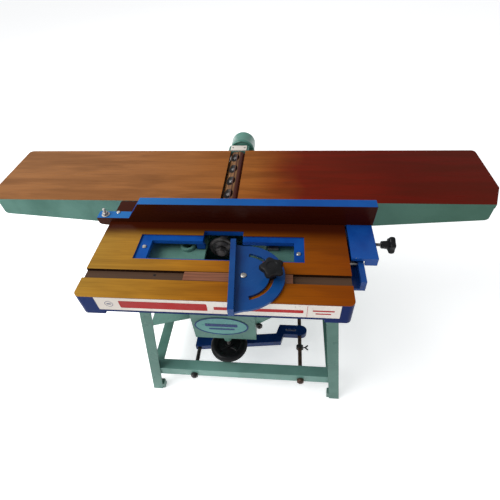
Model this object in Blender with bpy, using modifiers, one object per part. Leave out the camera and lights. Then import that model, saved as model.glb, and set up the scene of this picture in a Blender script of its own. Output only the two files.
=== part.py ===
"""Combination planer and jointer on a splayed stand: planer tables, cutter head, side saw table,
fence on a guide rail, mitre gauge, belt drive, and the lift screws that set the tables.

Coordinates below are measured from the planer tables: X along the tables, Y from their front edge
away from the operator, Z up from the table surface. A root empty puts them above the floor.
"""
import bpy
import bmesh
from math import atan2, cos, pi, radians, sin, sqrt, tan
from mathutils import Matrix, Vector

# ---- driving dimensions (metres) ----
TABLE_HEIGHT = 0.735
DEPTH_SHIFT = -0.0057
GAP = 0.0003
TABLE_HALF = 0.900
TABLE_WIDTH = 0.330
PLATE = 0.016
CUTTER_X = -0.0085
CUTTER_Z = -0.0375
CUTTER_R = 0.0355
SHAFT_R = 0.0125
SLOT_HALF = 0.0295
GIB_BOLT_START = 0.0505
GIB_BOLT_STEP = 0.0780
WAY_ANGLE = radians(12)
WAY_TOP = -0.118

STAND_X = 0.0335
STAND_TOP = -0.200
STAND_HALF_TOP = 0.3265
STAND_HALF_BOTTOM = 0.3885
STAND_FRONT_TOP = -0.300
STAND_FRONT_BOTTOM = -0.352
STAND_REAR_TOP = 0.375
STAND_REAR_BOTTOM = 0.427
ANGLE = 0.040
ANGLE_WALL = 0.005
BEAM_TOP = -0.585
BEAM_BOTTOM = -0.634

SAW_X = (-0.386, 0.369)
SAW_Y = (-0.415, -0.003)
SAW_PLATE = 0.020
SAW_APRON = 0.068
SLOT_Y = (-0.350, -0.316)
SLOT_DEPTH = 0.010
OPENING_X = (-0.225, 0.214)
OPENING_Y = (-0.264, -0.188)
KNEE_X = (-0.147, 0.088)
KNEE_Y = (-0.256, -0.049)
KNEE_Z = (-0.462, -0.0203)
LIFT_X = -0.028
LIFT_Y = -0.232

FENCE_Y = (-0.110, -0.076)
FENCE_X = (-0.430, 0.455)
FENCE_HEIGHT = 0.073
FENCE_LOW = 0.0145
RAIL_X = (0.397, 0.413)
RAIL_Y = (-0.320, -0.012)
RAIL_Z = (-0.058, -0.020)
CLAMP_Y = -0.165
CLAMP_Z = -0.028

PIVOT = (0.075, -0.333)
GAUGE_TURN = radians(4.5)
GAUGE_R = 0.114
GAUGE_SLOT_R = 0.078

ROD_R = 0.008
ROD_X = (-0.162, 0.2605)
ROD_Z = -0.617
ARM_Z = (-0.6315, -0.6025)
COLLAR_Y = -0.193
COLLAR_R = 0.0150

BELT_Y = 0.420
CUTTER_PULLEY_R = 0.035
MOTOR_PULLEY_R = 0.0605
BELT_DEPTH = 0.0085
MOTOR_Z = -0.498
GUARD_R = 0.0515
GUARD_BORE = 0.0245

PAINTS = {
    "green": ((0.110, 0.225, 0.190), 0.35, 0.0),
    "blue": ((0.010, 0.070, 0.290), 0.30, 0.0),
    "amber": ((0.270, 0.095, 0.020), 0.28, 0.3),
    "steel": ((0.420, 0.400, 0.370), 0.35, 1.0),
    "dark_steel": ((0.060, 0.055, 0.055), 0.45, 1.0),
    "black": ((0.008, 0.008, 0.009), 0.35, 0.0),
    "rubber": ((0.012, 0.012, 0.012), 0.80, 0.0),
    "cream": ((0.700, 0.640, 0.600), 0.40, 0.0),
    "badge": ((0.120, 0.300, 0.260), 0.35, 0.0),
}

# ---- scene set-up ----
for old in list(bpy.data.objects):
    bpy.data.objects.remove(old)
parts = bpy.data.collections.new("combination_jointer")
cutters = bpy.data.collections.new("cutters")
for group in (parts, cutters):
    bpy.context.scene.collection.children.link(group)

root = bpy.data.objects.new("table_datum", None)
root.location = (0, DEPTH_SHIFT, TABLE_HEIGHT)
parts.objects.link(root)


def finish(name, paint):
    """A Principled material for one sub-part."""
    colour, roughness, metallic = PAINTS[paint]
    material = bpy.data.materials.new(name + "_finish")
    material.use_nodes = True
    shader = material.node_tree.nodes["Principled BSDF"]
    shader.inputs["Base Color"].default_value = (*colour, 1)
    shader.inputs["Roughness"].default_value = roughness
    shader.inputs["Metallic"].default_value = metallic
    return material


def add_object(name, mesh, paint=None, origin=(0, 0, 0)):
    """Link a mesh as a part, or as a hidden cutter when it has no paint."""
    obj = bpy.data.objects.new(name, mesh)
    obj.parent = root
    obj.location = origin
    if paint:
        mesh.materials.append(finish(name, paint))
        parts.objects.link(obj)
    else:
        cutters.objects.link(obj)
        obj.hide_render = True
        obj.display_type = "WIRE"
    return obj


def from_bmesh(name, bm, paint=None, origin=(0, 0, 0), smooth=False):
    """Write a bmesh into a new object whose origin is the given point."""
    bmesh.ops.translate(bm, verts=bm.verts, vec=-Vector(origin))
    bmesh.ops.recalc_face_normals(bm, faces=bm.faces)
    mesh = bpy.data.meshes.new(name)
    bm.to_mesh(mesh)
    bm.free()
    if smooth:
        mesh.shade_smooth()
        mesh.set_sharp_from_angle(angle=radians(40))
    return add_object(name, mesh, paint, origin)


def box(name, x, y, z, paint=None, origin=(0, 0, 0)):
    """A cuboid between pairs of limits."""
    bm = bmesh.new()
    size = (x[1] - x[0], y[1] - y[0], z[1] - z[0])
    centre = ((x[0] + x[1]) / 2, (y[0] + y[1]) / 2, (z[0] + z[1]) / 2)
    bmesh.ops.create_cube(bm, matrix=Matrix.Translation(centre) @ Matrix.Diagonal((*size, 1)))
    return from_bmesh(name, bm, paint, origin)


def axis_matrix(direction):
    """Rotation that turns local +Z towards a direction."""
    return Vector(direction).to_track_quat("Z", "Y").to_matrix().to_4x4()


def rod(name, start, end, radius, paint=None, sides=24, origin=(0, 0, 0)):
    """A round bar between two points."""
    start = Vector(start)
    end = Vector(end)
    bm = bmesh.new()
    matrix = Matrix.Translation((start + end) / 2) @ axis_matrix(end - start)
    bmesh.ops.create_cone(
        bm, cap_ends=True, segments=sides, radius1=radius, radius2=radius,
        depth=(end - start).length, matrix=matrix)
    return from_bmesh(name, bm, paint, origin, smooth=sides > 8)


def turned(name, profile, centre, direction, paint=None, steps=32):
    """A turned solid: (radius, height) points down its outer side, then up its bore if it has one."""
    mesh = bpy.data.meshes.new(name)
    solid = profile[0][0] == 0
    edges = [(i, i + 1) for i in range(len(profile) - 1)]
    if not solid:
        edges.append((len(profile) - 1, 0))
    mesh.from_pydata([(radius, 0, height) for radius, height in profile], edges, [])
    obj = add_object(name, mesh, paint, centre)
    obj.rotation_euler = axis_matrix(direction).to_euler()
    screw = obj.modifiers.new("turn", "SCREW")
    screw.steps = steps
    screw.render_steps = steps
    screw.use_merge_vertices = True
    screw.merge_threshold = 0.00005
    return obj


PLANES = {
    "XY": Matrix.Identity(4),
    "XZ": Matrix(((1, 0, 0, 0), (0, 0, -1, 0), (0, 1, 0, 0), (0, 0, 0, 1))),
}


def plate(name, loops, low, high, plane, paint=None, origin=(0, 0, 0), turn=None):
    """A flat outline, with any holes as further loops, given a thickness across its plane."""
    curve = bpy.data.curves.new(name, "CURVE")
    curve.dimensions = "2D"
    curve.fill_mode = "BOTH"
    curve.extrude = (high - low) / 2
    for loop in loops:
        spline = curve.splines.new("POLY")
        spline.points.add(len(loop) - 1)
        for point, (u, v) in zip(spline.points, loop):
            point.co = (u, v, 0, 1)
        spline.use_cyclic_u = True
    outline = bpy.data.objects.new(name, curve)
    bpy.context.scene.collection.objects.link(outline)
    middle = (low + high) / 2
    height = -middle if plane == "XZ" else middle
    outline.matrix_world = PLANES[plane] @ Matrix.Translation((0, 0, height))
    bpy.context.view_layer.update()
    mesh = bpy.data.meshes.new_from_object(outline.evaluated_get(bpy.context.evaluated_depsgraph_get()))
    mesh.transform(outline.matrix_world)
    bpy.data.objects.remove(outline)
    bm = bmesh.new()
    bm.from_mesh(mesh)
    bmesh.ops.remove_doubles(bm, verts=bm.verts, dist=0.00001)
    if turn:
        bmesh.ops.transform(bm, matrix=turn, verts=bm.verts)
    return from_bmesh(name, bm, paint, origin)


def boolean(base, tools, operation):
    """Join or cut with hidden tool solids."""
    for tool in tools:
        modifier = base.modifiers.new(tool.name, "BOOLEAN")
        modifier.operation = operation
        modifier.solver = "EXACT"
        modifier.object = tool
    return base


def join(base, *tools):
    """Union of a part with tool solids."""
    return boolean(base, tools, "UNION")


def cut(base, *tools):
    """Difference of a part and tool solids."""
    return boolean(base, tools, "DIFFERENCE")


def arc(cx, cy, radius, start, end, count):
    """Points along an arc, angles in degrees."""
    step = (end - start) / count
    angles = [radians(start + step * i) for i in range(count + 1)]
    return [(cx + radius * cos(a), cy + radius * sin(a)) for a in angles]


def about(x, y, angle):
    """Rotation about a vertical axis through a point."""
    place = Matrix.Translation((x, y, 0))
    return place @ Matrix.Rotation(angle, 4, "Z") @ place.inverted()


# ---- stand ----
def leg(name, side_x, side_y):
    """One splayed angle-iron leg, with the angle's corner outwards, and an inward foot lug."""
    top_y = STAND_FRONT_TOP if side_y < 0 else STAND_REAR_TOP
    bottom_y = STAND_FRONT_BOTTOM if side_y < 0 else STAND_REAR_BOTTOM
    top = Vector((STAND_X + side_x * STAND_HALF_TOP, top_y, STAND_TOP - GAP))
    bottom = Vector((STAND_X + side_x * STAND_HALF_BOTTOM, bottom_y, -TABLE_HEIGHT))
    bm = bmesh.new()
    section = [(0, 0), (ANGLE, 0), (ANGLE, ANGLE_WALL), (ANGLE_WALL, ANGLE_WALL), (ANGLE_WALL, ANGLE),
               (0, ANGLE)]
    corners = [bm.verts.new(bottom + Vector((-side_x * u, -side_y * v, 0))) for u, v in section]
    face = bm.faces.new(corners)
    swept = bmesh.ops.extrude_face_region(bm, geom=[face])["geom"]
    lifted = [item for item in swept if isinstance(item, bmesh.types.BMVert)]
    bmesh.ops.translate(bm, verts=lifted, vec=top - bottom)
    obj = from_bmesh(name, bm, "green")
    inner = bottom.x - side_x * (ANGLE + 0.010)
    lug_y = bottom.y - side_y * 0.030
    lug = box(name + "_lug", sorted((inner, bottom.x - side_x * 0.0047)),
              sorted((bottom.y - side_y * 0.0045, lug_y)), (-TABLE_HEIGHT, -TABLE_HEIGHT + 0.035))
    return join(obj, lug)


def angle_beam(name, along_x, ends, outer, inner, z):
    """A horizontal angle: a flange on top from outer to inner, and a web down its outer side."""
    web = outer + ANGLE_WALL * (1 if inner > outer else -1)
    under = z[1] - ANGLE_WALL
    section = [(outer, z[0]), (web, z[0]), (web, under), (inner, under), (inner, z[1]), (outer, z[1])]
    bm = bmesh.new()
    corners = [bm.verts.new((ends[0], u, v) if along_x else (u, ends[0], v)) for u, v in section]
    swept = bmesh.ops.extrude_face_region(bm, geom=[bm.faces.new(corners)])["geom"]
    far = [item for item in swept if isinstance(item, bmesh.types.BMVert)]
    length = ends[1] - ends[0]
    bmesh.ops.translate(bm, verts=far, vec=(length, 0, 0) if along_x else (0, length, 0))
    return from_bmesh(name, bm, "green")


leg("leg_front_left", -1, -1)
leg("leg_front_right", 1, -1)
leg("leg_rear_left", -1, 1)
leg("leg_rear_right", 1, 1)

frame_x = (STAND_X - STAND_HALF_TOP, STAND_X + STAND_HALF_TOP)
frame_y = (STAND_FRONT_TOP, STAND_REAR_TOP)
top_frame = box("top_frame", frame_x, frame_y, (STAND_TOP, -0.175), "green")
cut(top_frame, box("top_frame_inside", (frame_x[0] + ANGLE, frame_x[1] - ANGLE),
                   (frame_y[0] + 0.038, frame_y[1] - ANGLE), (-0.3, -0.1)))

beam_z = (BEAM_BOTTOM, BEAM_TOP)
front_y = (-0.3318, -0.290)
rear_y = (0.3565, 0.4063)
beam_x = (-0.3320, 0.3990)
front_beam = angle_beam("front_beam", True, beam_x, *front_y, beam_z)
cut(front_beam, *[rod(f"front_beam_hole_{i}", (x, -0.36, ROD_Z), (x, -0.30, ROD_Z), ROD_R + 0.0005)
                  for i, x in enumerate(ROD_X)])
angle_beam("rear_beam", True, beam_x, rear_y[1], rear_y[0], beam_z)
rail_y = (front_y[1] + GAP, rear_y[0] - GAP)
angle_beam("side_rail_left", False, rail_y, beam_x[0], beam_x[0] + ANGLE, beam_z)
angle_beam("side_rail_right", False, rail_y, beam_x[1], beam_x[1] - ANGLE, beam_z)
box("rod_beam", (beam_x[0] + ANGLE + GAP, beam_x[1] - ANGLE - GAP), (0, 0.035), beam_z, "green")


def guide_rod(name, x):
    """A round rod along Y with its hex nut on the front end."""
    obj = rod(name, (x, -0.3490, ROD_Z), (x, -GAP, ROD_Z), ROD_R, "dark_steel")
    nut = rod(name + "_nut", (x, -0.3445, ROD_Z), (x, front_y[0] - GAP, ROD_Z), 0.0150, sides=6)
    return join(obj, nut)


guide_rod("guide_rod_left", ROD_X[0])
guide_rod("guide_rod_right", ROD_X[1])


# ---- main body ----
def way_height(x):
    """Height of the sliding surface under the planer tables, falling away from the cutter."""
    return WAY_TOP - (abs(x - CUTTER_X) - 0.05) * tan(WAY_ANGLE)


body_x = (-0.250, 0.318)
body_y = (-0.030, 0.333)
body_z = (-0.400, -0.165)
wall = 0.012
main_body = box("main_body", body_x, body_y, body_z, "green")
cut(main_body, box("main_body_inside", (body_x[0] + wall, body_x[1] - wall),
                   (body_y[0] + wall, body_y[1] - wall), (-0.5, 0)))
flanges = [box("body_flange_left", (-0.288, body_x[0] + wall / 2), body_y, (-0.1747, -0.165)),
           box("body_flange_right", (body_x[1] - wall / 2, 0.357), body_y, (-0.1747, -0.165))]
way_outline = [(body_x[0] + 0.002, -0.26), (body_x[1] - 0.002, -0.26), (body_x[1] - 0.002, -0.1655),
               (CUTTER_X + 0.275, way_height(CUTTER_X + 0.275) - GAP),
               (CUTTER_X + 0.05, WAY_TOP - GAP), (CUTTER_X - 0.05, WAY_TOP - GAP),
               (body_x[0] + 0.002, way_height(body_x[0] + 0.002) - GAP)]
ways = [plate(f"body_way_{i}", [way_outline], y, y + 0.030, "XZ") for i, y in enumerate((0.050, 0.250))]
front_head = box("body_front_head", (CUTTER_X - 0.045, CUTTER_X + 0.045), (-0.048, -0.020), (-0.30, -0.0795))
rear_head = box("body_rear_head", (CUTTER_X - 0.045, CUTTER_X + 0.045), (0.322, 0.375), (-0.172, -0.0795))
knee_way = box("body_knee_way", (-0.085, 0.026), (-0.0487, -0.020), (-0.395, -0.13))
screw_lugs = [box("body_lug_right", (0.306, 0.320), (0.150, 0.180), (-0.170, -0.118)),
              box("body_lug_left", (-0.252, -0.238), (0.150, 0.180), (-0.170, -0.118))]
join(main_body, *flanges, *ways, front_head, rear_head, knee_way, *screw_lugs)

arm_x = (LIFT_X - 0.020, LIFT_X + 0.020)
screw_bracket = box("screw_bracket", arm_x, (-0.030, -0.018), (-0.586, -0.400 - GAP), "green")
join(screw_bracket, box("screw_bracket_arm", arm_x, (-0.264, -0.019), (-0.586, -0.576)))

chute_line = [(-0.152, -0.409), (-0.350, -0.4855)]
chute = [(chute_line[0][0], chute_line[0][1]), (chute_line[0][0], chute_line[0][1] - 0.004),
         (chute_line[1][0], chute_line[1][1] - 0.004), (chute_line[1][0], chute_line[1][1])]
chip_chute = plate("chip_chute", [chute], -0.200, -0.040, "XZ", "green")
join(chip_chute, box("chip_chute_flange", (-0.190, -0.154), (-0.044, -0.0305), (-0.435, -0.380)))


# ---- cutter shaft ----
def bearing(name, y, front):
    """A block that holds one end of the cutter shaft."""
    obj = box(name, (CUTTER_X - 0.041, CUTTER_X + 0.041), y, (-0.0790, front), "green")
    bore = rod(name + "_bore", (CUTTER_X, y[0] - 0.01, CUTTER_Z), (CUTTER_X, y[1] + 0.01, CUTTER_Z),
               SHAFT_R + 0.0004, sides=32)
    return cut(obj, bore)


bearing("front_bearing", (-0.046, -0.006), -0.0045)
bearing("rear_bearing", (0.336, 0.376), -0.0060)
box("rear_bearing_cap", (CUTTER_X - 0.032, CUTTER_X + 0.032), (0.337, 0.372), (-0.0057, -0.0012), "cream")

head_profile = [(0, 0.447), (SHAFT_R, 0.447), (SHAFT_R, 0.3285), (CUTTER_R, 0.3285), (CUTTER_R, 0.0015),
                (SHAFT_R, 0.0015), (SHAFT_R, -0.2095), (0, -0.2095)]
cutter_head = turned("cutter_head", head_profile, (CUTTER_X, 0, CUTTER_Z), (0, 1, 0), "steel", 36)

KNIFE_ANGLES = [radians(98 + 120 * i) for i in range(3)]


def in_head(name, angle, across, y, radial, paint=None):
    """A bar along the cutter head, placed by its distance from the axis and its offset across."""
    obj = box(name, across, y, radial, paint)
    obj.location = (CUTTER_X, 0, CUTTER_Z)
    obj.rotation_euler = (0, pi / 2 - angle, 0)
    return obj


for number, angle in enumerate(KNIFE_ANGLES, 1):
    groove = in_head(f"head_groove_{number}", angle, (-0.008, 0.008), (-0.005, 0.335), (0.0195, 0.042))
    cut(cutter_head, groove)
    in_head(f"knife_{number}", angle, (0.0049, 0.0077), (0.004, 0.326), (0.0200, 0.0370), "steel")
    gib = in_head(f"gib_{number}", angle, (-0.0077, 0.0046), (0.004, 0.326), (0.0200, 0.0320), "dark_steel")
    for bolt in range(4):
        head = rod(f"gib_{number}_bolt_{bolt}", (0, 0, 0.031), (0, 0, 0.0355), 0.0058, sides=6)
        for vertex in head.data.vertices:
            vertex.co += Vector((-0.0016, GIB_BOLT_START + GIB_BOLT_STEP * bolt, 0))
        head.location = (CUTTER_X, 0, CUTTER_Z)
        head.rotation_euler = (0, pi / 2 - angle, 0)
        join(gib, head)

shaft_axis = (CUTTER_X, 0, CUTTER_Z)
bore = SHAFT_R + GAP


def pulley(name, radius, bore_radius, centre, paint="dark_steel"):
    """A pulley with one belt groove, centred on the belt's plane."""
    floor = radius - BELT_DEPTH - 0.0012
    half = 0.0150
    groove = 0.0070
    profile = [(radius, half), (radius, groove), (floor, groove), (floor, -groove), (radius, -groove),
               (radius, -half), (bore_radius, -half), (bore_radius, half)]
    return turned(name, profile, centre, (0, 1, 0), paint, 32)


pulley("cutter_pulley", CUTTER_PULLEY_R, bore, (CUTTER_X, BELT_Y, CUTTER_Z))
turned("inner_flange", [(0.018, -0.150), (0.018, -0.178), (0.040, -0.178), (0.040, -0.186), (bore, -0.186),
                        (bore, -0.150)], shaft_axis, (0, 1, 0), "dark_steel")
turned("outer_flange", [(0.030, -0.1863), (0.030, -0.189), (0.022, -0.1945), (bore, -0.1945),
                        (bore, -0.1863)], shaft_axis, (0, 1, 0), "dark_steel")
arbor_nut = rod("arbor_nut", (CUTTER_X, -0.1948, CUTTER_Z), (CUTTER_X, -0.2065, CUTTER_Z), 0.018,
                "dark_steel", sides=6)
nut_bore = rod("arbor_nut_bore", (CUTTER_X, -0.18, CUTTER_Z), (CUTTER_X, -0.22, CUTTER_Z), bore, sides=32)
cut(arbor_nut, nut_bore)

# ---- belt drive ----
guard_angles = [radians(30 * i) for i in range(4)]
guard_outer = [(GUARD_R - 0.020 * (1 - cos(a)), 0.452 + 0.020 * sin(a)) for a in reversed(guard_angles)]
guard_front = [(GUARD_R - 0.016 * (1 - cos(a)), 0.3925 - 0.016 * sin(a)) for a in guard_angles]
guard_profile = ([(0, 0.472)] + guard_outer + guard_front + [(GUARD_BORE, 0.3765), (GUARD_BORE, 0.3795),
                 (0.0370, 0.3795), (0.0485, 0.393), (0.0485, 0.452), (0.0330, 0.4685), (0, 0.4685)])
guard_axis = (CUTTER_X + 0.009, 0, CUTTER_Z + 0.002)
pulley_guard = turned("pulley_guard", guard_profile, guard_axis, (0, 1, 0), "green", 32)
cut(pulley_guard, box("guard_mouth", (CUTTER_X - 0.046, CUTTER_X + 0.046), (0.402, 0.438),
                      (CUTTER_Z - 0.08, CUTTER_Z - 0.012)))

motor = rod("motor", (CUTTER_X, 0.090, MOTOR_Z), (CUTTER_X, 0.330, MOTOR_Z), 0.070, "green", 32)
join(motor, rod("motor_nose", (CUTTER_X, 0.320, MOTOR_Z), (CUTTER_X, 0.352, MOTOR_Z), 0.030, sides=32),
     box("motor_foot", (CUTTER_X - 0.075, CUTTER_X + 0.075), (0.130, 0.290), (-0.5784, -0.555)),
     box("motor_terminals", (CUTTER_X + 0.055, CUTTER_X + 0.098), (0.160, 0.250), (-0.530, -0.470)))
box("motor_plate", (CUTTER_X - 0.090, CUTTER_X + 0.090), (0.005, 0.375), (-0.5847, -0.5787), "green")
motor_pulley = pulley("motor_pulley", MOTOR_PULLEY_R, 0.009, (CUTTER_X, BELT_Y, MOTOR_Z))
join(motor_pulley, rod("motor_shaft", (CUTTER_X, 0.3525, MOTOR_Z), (CUTTER_X, 0.438, MOTOR_Z), 0.0095))


def belt_loop(offset):
    """Outline of a belt round both pulleys, offset from the groove floors."""
    small = CUTTER_PULLEY_R - BELT_DEPTH + offset
    large = MOTOR_PULLEY_R - BELT_DEPTH + offset
    span = CUTTER_Z - MOTOR_Z
    lean = 90 * atan2(large - small, sqrt(span ** 2 - (large - small) ** 2)) / (pi / 2)
    return (arc(CUTTER_X, CUTTER_Z, small, lean, 180 - lean, 16)
            + arc(CUTTER_X, MOTOR_Z, large, 180 - lean, 360 + lean, 24))


plate("drive_belt", [belt_loop(BELT_DEPTH), belt_loop(0)], BELT_Y - 0.0058, BELT_Y + 0.0058, "XZ", "rubber")


# ---- planer tables ----
def planer_table(name, side):
    """One planer table: plate, side aprons that deepen inwards, way ribs and a nut lug."""
    lip = CUTTER_X + side * SLOT_HALF
    end = side * TABLE_HALF
    corner = 0.015
    far = arc(end - side * corner, TABLE_WIDTH - corner, corner, 0, 90, 4)
    if side < 0:
        far = [(2 * (end - side * corner) - x, y) for x, y in far]
    outline = [(lip, 0), (end - side * 0.041, 0), (end, 0.092), *far, (lip, TABLE_WIDTH)]
    obj = plate(name, [outline], -PLATE, 0, "XY", "amber")
    inner = CUTTER_X + side * 0.052
    apron = [(inner, -0.004), (end - side * 0.043, -0.004), (end - side * 0.043, -0.057),
             (end - side * 0.046, -0.064), (end - side * 0.053, -0.067), (side * 0.360, -0.112),
             (side * 0.240, -0.117), (inner, -0.095)]
    back_apron = [(x + (side * 0.030 if abs(x) > 0.8 else 0), z) for x, z in apron]
    rib_end = CUTTER_X + side * 0.220
    rib_start = CUTTER_X + side * 0.053
    rib = [(rib_start, -0.004), (rib_end, -0.004), (rib_end, way_height(rib_end)),
           (rib_start, way_height(rib_start))]
    tools = [plate(name + "_front_apron", [apron], 0.0004, 0.011, "XZ"),
             plate(name + "_back_apron", [back_apron], TABLE_WIDTH - 0.011, TABLE_WIDTH - 0.0004, "XZ")]
    tools += [plate(f"{name}_rib_{i}", [rib], y, y + 0.026, "XZ") for i, y in enumerate((0.052, 0.252))]
    for i, x in enumerate((0.230, 0.480, 0.700)):
        cross = sorted((side * x, side * (x + 0.008)))
        depth = -0.100 + 0.055 * i / 2
        tools.append(box(f"{name}_cross_{i}", cross, (0.005, TABLE_WIDTH - 0.005), (depth, -0.004)))
    end_wall = sorted((end - side * 0.002, end - side * 0.012))
    tools.append(box(name + "_end", end_wall, (0.098, TABLE_WIDTH - 0.020), (-0.060, -0.004)))
    slant = [(end - side * 0.0425, 0.0008), (end - side * 0.0020, 0.0920), (end - side * 0.0115, 0.0985),
             (end - side * 0.0510, 0.0105)]
    tools.append(plate(name + "_slant", [slant], -0.060, -0.004, "XY"))
    nut_x = side * 0.352 - (0 if side > 0 else -0.070)
    lug = sorted((nut_x, nut_x + side * 0.015))
    tools.append(box(name + "_nut_lug", lug, (0.148, 0.182), (-0.156, -0.004)))
    join(obj, *tools)
    relief = rod(name + "_relief", (CUTTER_X, -0.02, CUTTER_Z), (CUTTER_X, TABLE_WIDTH + 0.02, CUTTER_Z),
                 0.0395, sides=48)
    start, travel = screw_line(side)
    hole = rod(name + "_nut_hole", start - travel * 0.02, start + travel * 0.16, 0.0067, sides=24)
    return cut(obj, relief, hole)


def screw_line(side):
    """Start point and direction of a table's lift screw, which lies along its sliding surface."""
    start = Vector((0.3220 if side > 0 else -0.2540, 0.165, -0.1335))
    return start, Vector((side * cos(WAY_ANGLE), 0, -sin(WAY_ANGLE)))


def handwheel(name, centre, direction, radius, rim, bore_radius):
    """A rimmed wheel with three spokes and a hub, bored for its screw."""
    inner = radius - rim
    section = arc(inner, 0, rim, 90, -270, 8)[:-1]
    wheel = turned(name, section, centre, direction, "black", 32)
    hub_profile = [(0.015, 0.014), (0.015, -0.014), (bore_radius, -0.014), (bore_radius, 0.014)]
    hub = turned(name + "_hub", hub_profile, centre, direction, steps=24)
    spokes = []
    for i in range(3):
        spoke = box(f"{name}_spoke_{i}", (0.012, inner - 0.002), (-0.006, 0.006), (-0.005, 0.005))
        spoke.location = centre
        turn = Matrix.Rotation(radians(120 * i + 30), 4, "Z")
        spoke.rotation_euler = (axis_matrix(direction) @ turn).to_euler()
        spokes.append(spoke)
    return join(wheel, *spokes, hub)


for label, side in (("infeed", 1), ("outfeed", -1)):
    planer_table(label + "_table", side)
    start, travel = screw_line(side)
    rod(label + "_screw", start, start + travel * 0.150, 0.0062, "steel", origin=start)
    handwheel(label + "_handwheel", start + travel * 0.128, travel, 0.046, 0.008, 0.0066)


# ---- saw table and its knee ----
corner = 0.016
saw_outline = [(SAW_X[0], SAW_Y[1]), *arc(SAW_X[0] + corner, SAW_Y[0] + corner, corner, 180, 270, 6),
               *arc(SAW_X[1] - corner, SAW_Y[0] + corner, corner, 270, 360, 6), (SAW_X[1], SAW_Y[1])]
saw_table = plate("saw_table", [saw_outline], -SAW_APRON, 0, "XY", "amber")
join(saw_table, plate("saw_skirt", [saw_outline], -0.080, -SAW_APRON + 0.001, "XY"))
saw_cuts = [
    box("saw_pocket", (SAW_X[0] + wall, SAW_X[1] - wall), (SAW_Y[0] + wall, 0.02), (-0.10, -SAW_PLATE)),
    box("saw_skirt_gap", (-0.318, 0.297), (SAW_Y[0] - 0.01, SAW_Y[0] + 0.08), (-0.09, -SAW_APRON)),
    box("saw_skirt_back", (SAW_X[0] - 0.01, SAW_X[1] + 0.01), (SAW_Y[0] + 0.045, 0.02), (-0.09, -SAW_APRON)),
    box("saw_opening", OPENING_X, OPENING_Y, (-0.03, 0.01)),
    box("saw_ledge", (-0.262, 0.243), (-0.272, -0.167), (-0.006, 0.01)),
    box("saw_flange_notch", (-0.066, 0.058), (-0.190, -0.146), (-0.03, 0.01)),
    box("saw_bearing_notch", (CUTTER_X - 0.047, CUTTER_X + 0.047), (-0.053, 0.01), (-0.03, 0.01)),
    box("saw_mitre_slot", (-0.40, 0.40), SLOT_Y, (-SLOT_DEPTH, 0.01)),
]
cut(saw_table, *saw_cuts)
box("label_strip", (-0.328, 0.334), (SAW_Y[0] - 0.0015, SAW_Y[0] - GAP), (-0.0575, -0.0030), "cream")

knee = box("knee", KNEE_X, KNEE_Y, KNEE_Z, "green")
knee_inside = (KNEE_X[0] + wall, KNEE_X[1] - wall)
flange_boss = (-0.121, -0.171)
cut(knee,
    box("knee_hollow", knee_inside, (KNEE_Y[0] + 0.010, -0.065), (KNEE_Z[0] + wall, 0.01)),
    box("knee_roof", (-0.2, 0.2), (KNEE_Y[0] - 0.01, -0.115), (-0.056, 0.01)))
gusset = [(0.084, -0.3745), (0.222, -0.2485), (0.222, -0.056), (0.084, -0.056)]
join(knee,
     rod("knee_boss", (LIFT_X, LIFT_Y, -0.500), (LIFT_X, LIFT_Y, KNEE_Z[0] + 0.004), 0.0155),
     box("knee_flange", (-0.250, 0.235), (-0.268, -0.112), (-0.062, -0.050)),
     plate("knee_gusset", [gusset], -0.250, -0.242, "XZ"),
     rod("knee_flange_boss", (*flange_boss, -0.060), (*flange_boss, -0.0455), 0.025, sides=32))
cut(knee,
    box("knee_arbor_gap", (-0.062, 0.128), (KNEE_Y[0] - 0.03, -0.070), (-0.085, 0.01)),
    rod("knee_flange_boss_hole", (*flange_boss, -0.07), (*flange_boss, -0.02), 0.0145, sides=24),
    box("knee_rear_window", knee_inside, (-0.070, -0.04), (-0.122, 0.01)),
    rod("knee_screw_hole", (LIFT_X, LIFT_Y, -0.52), (LIFT_X, LIFT_Y, -0.44), 0.0086))
badge_angles = [2 * pi * i / 40 for i in range(40)]
badge_loop = [(-0.038 + 0.100 * cos(a), -0.376 + 0.056 * sin(a)) for a in badge_angles]
plate("badge_plate", [badge_loop], KNEE_Y[0] - 0.0025, KNEE_Y[0] - GAP, "XZ", "badge")

guide_rail = box("guide_rail", RAIL_X, RAIL_Y, RAIL_Z, "blue")
join(guide_rail, box("guide_rail_web", (SAW_X[1] + GAP, RAIL_X[0] + 0.004), RAIL_Y, (RAIL_Z[0], -0.050)),
     *[rod(f"guide_rail_bolt_{i}", (SAW_X[1] + GAP, y, -0.038), (RAIL_X[0] + 0.003, y, -0.038), 0.0065)
       for i, y in enumerate((-0.236, -0.060))])

rod("elevating_screw", (LIFT_X, LIFT_Y, -0.576 + GAP), (LIFT_X, LIFT_Y, -0.330), 0.0078, "steel",
    origin=(LIFT_X, LIFT_Y, -0.553))
handwheel("elevating_handwheel", (LIFT_X, LIFT_Y, -0.5525), (0, 0, 1), 0.0745, 0.0155, 0.0082)

# ---- fence ----
fence_outline = [(FENCE_X[0], 0.004), (-0.4285, -0.008), (-0.424, -0.0135), (-0.402, -0.017),
                 (-0.3875, -0.017), (-0.3875, GAP), (FENCE_X[1], GAP), (FENCE_X[1] + 0.003, FENCE_HEIGHT),
                 (-0.277, FENCE_HEIGHT), (-0.321, FENCE_LOW), (FENCE_X[0], FENCE_LOW)]
fence = plate("fence", [fence_outline], *FENCE_Y, "XZ", "blue")
bays = [(-0.262, -0.030), (-0.020, 0.212), (0.222, 0.446)]
cut(fence, *[box(f"fence_bay_{i}", bay, (FENCE_Y[0] + wall, 0), (0.012, FENCE_HEIGHT - 0.011))
             for i, bay in enumerate(bays)])
turned("fence_stud", [(0, 0.0245), (0.0045, 0.0245), (0.0045, 0.011), (0.0085, 0.011), (0.0085, 0.002),
                      (0.0130, 0.002), (0.0130, 0), (0, 0)],
       (-0.404, -0.094, FENCE_LOW + GAP), (0, 0, 1), "steel", 24)

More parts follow.
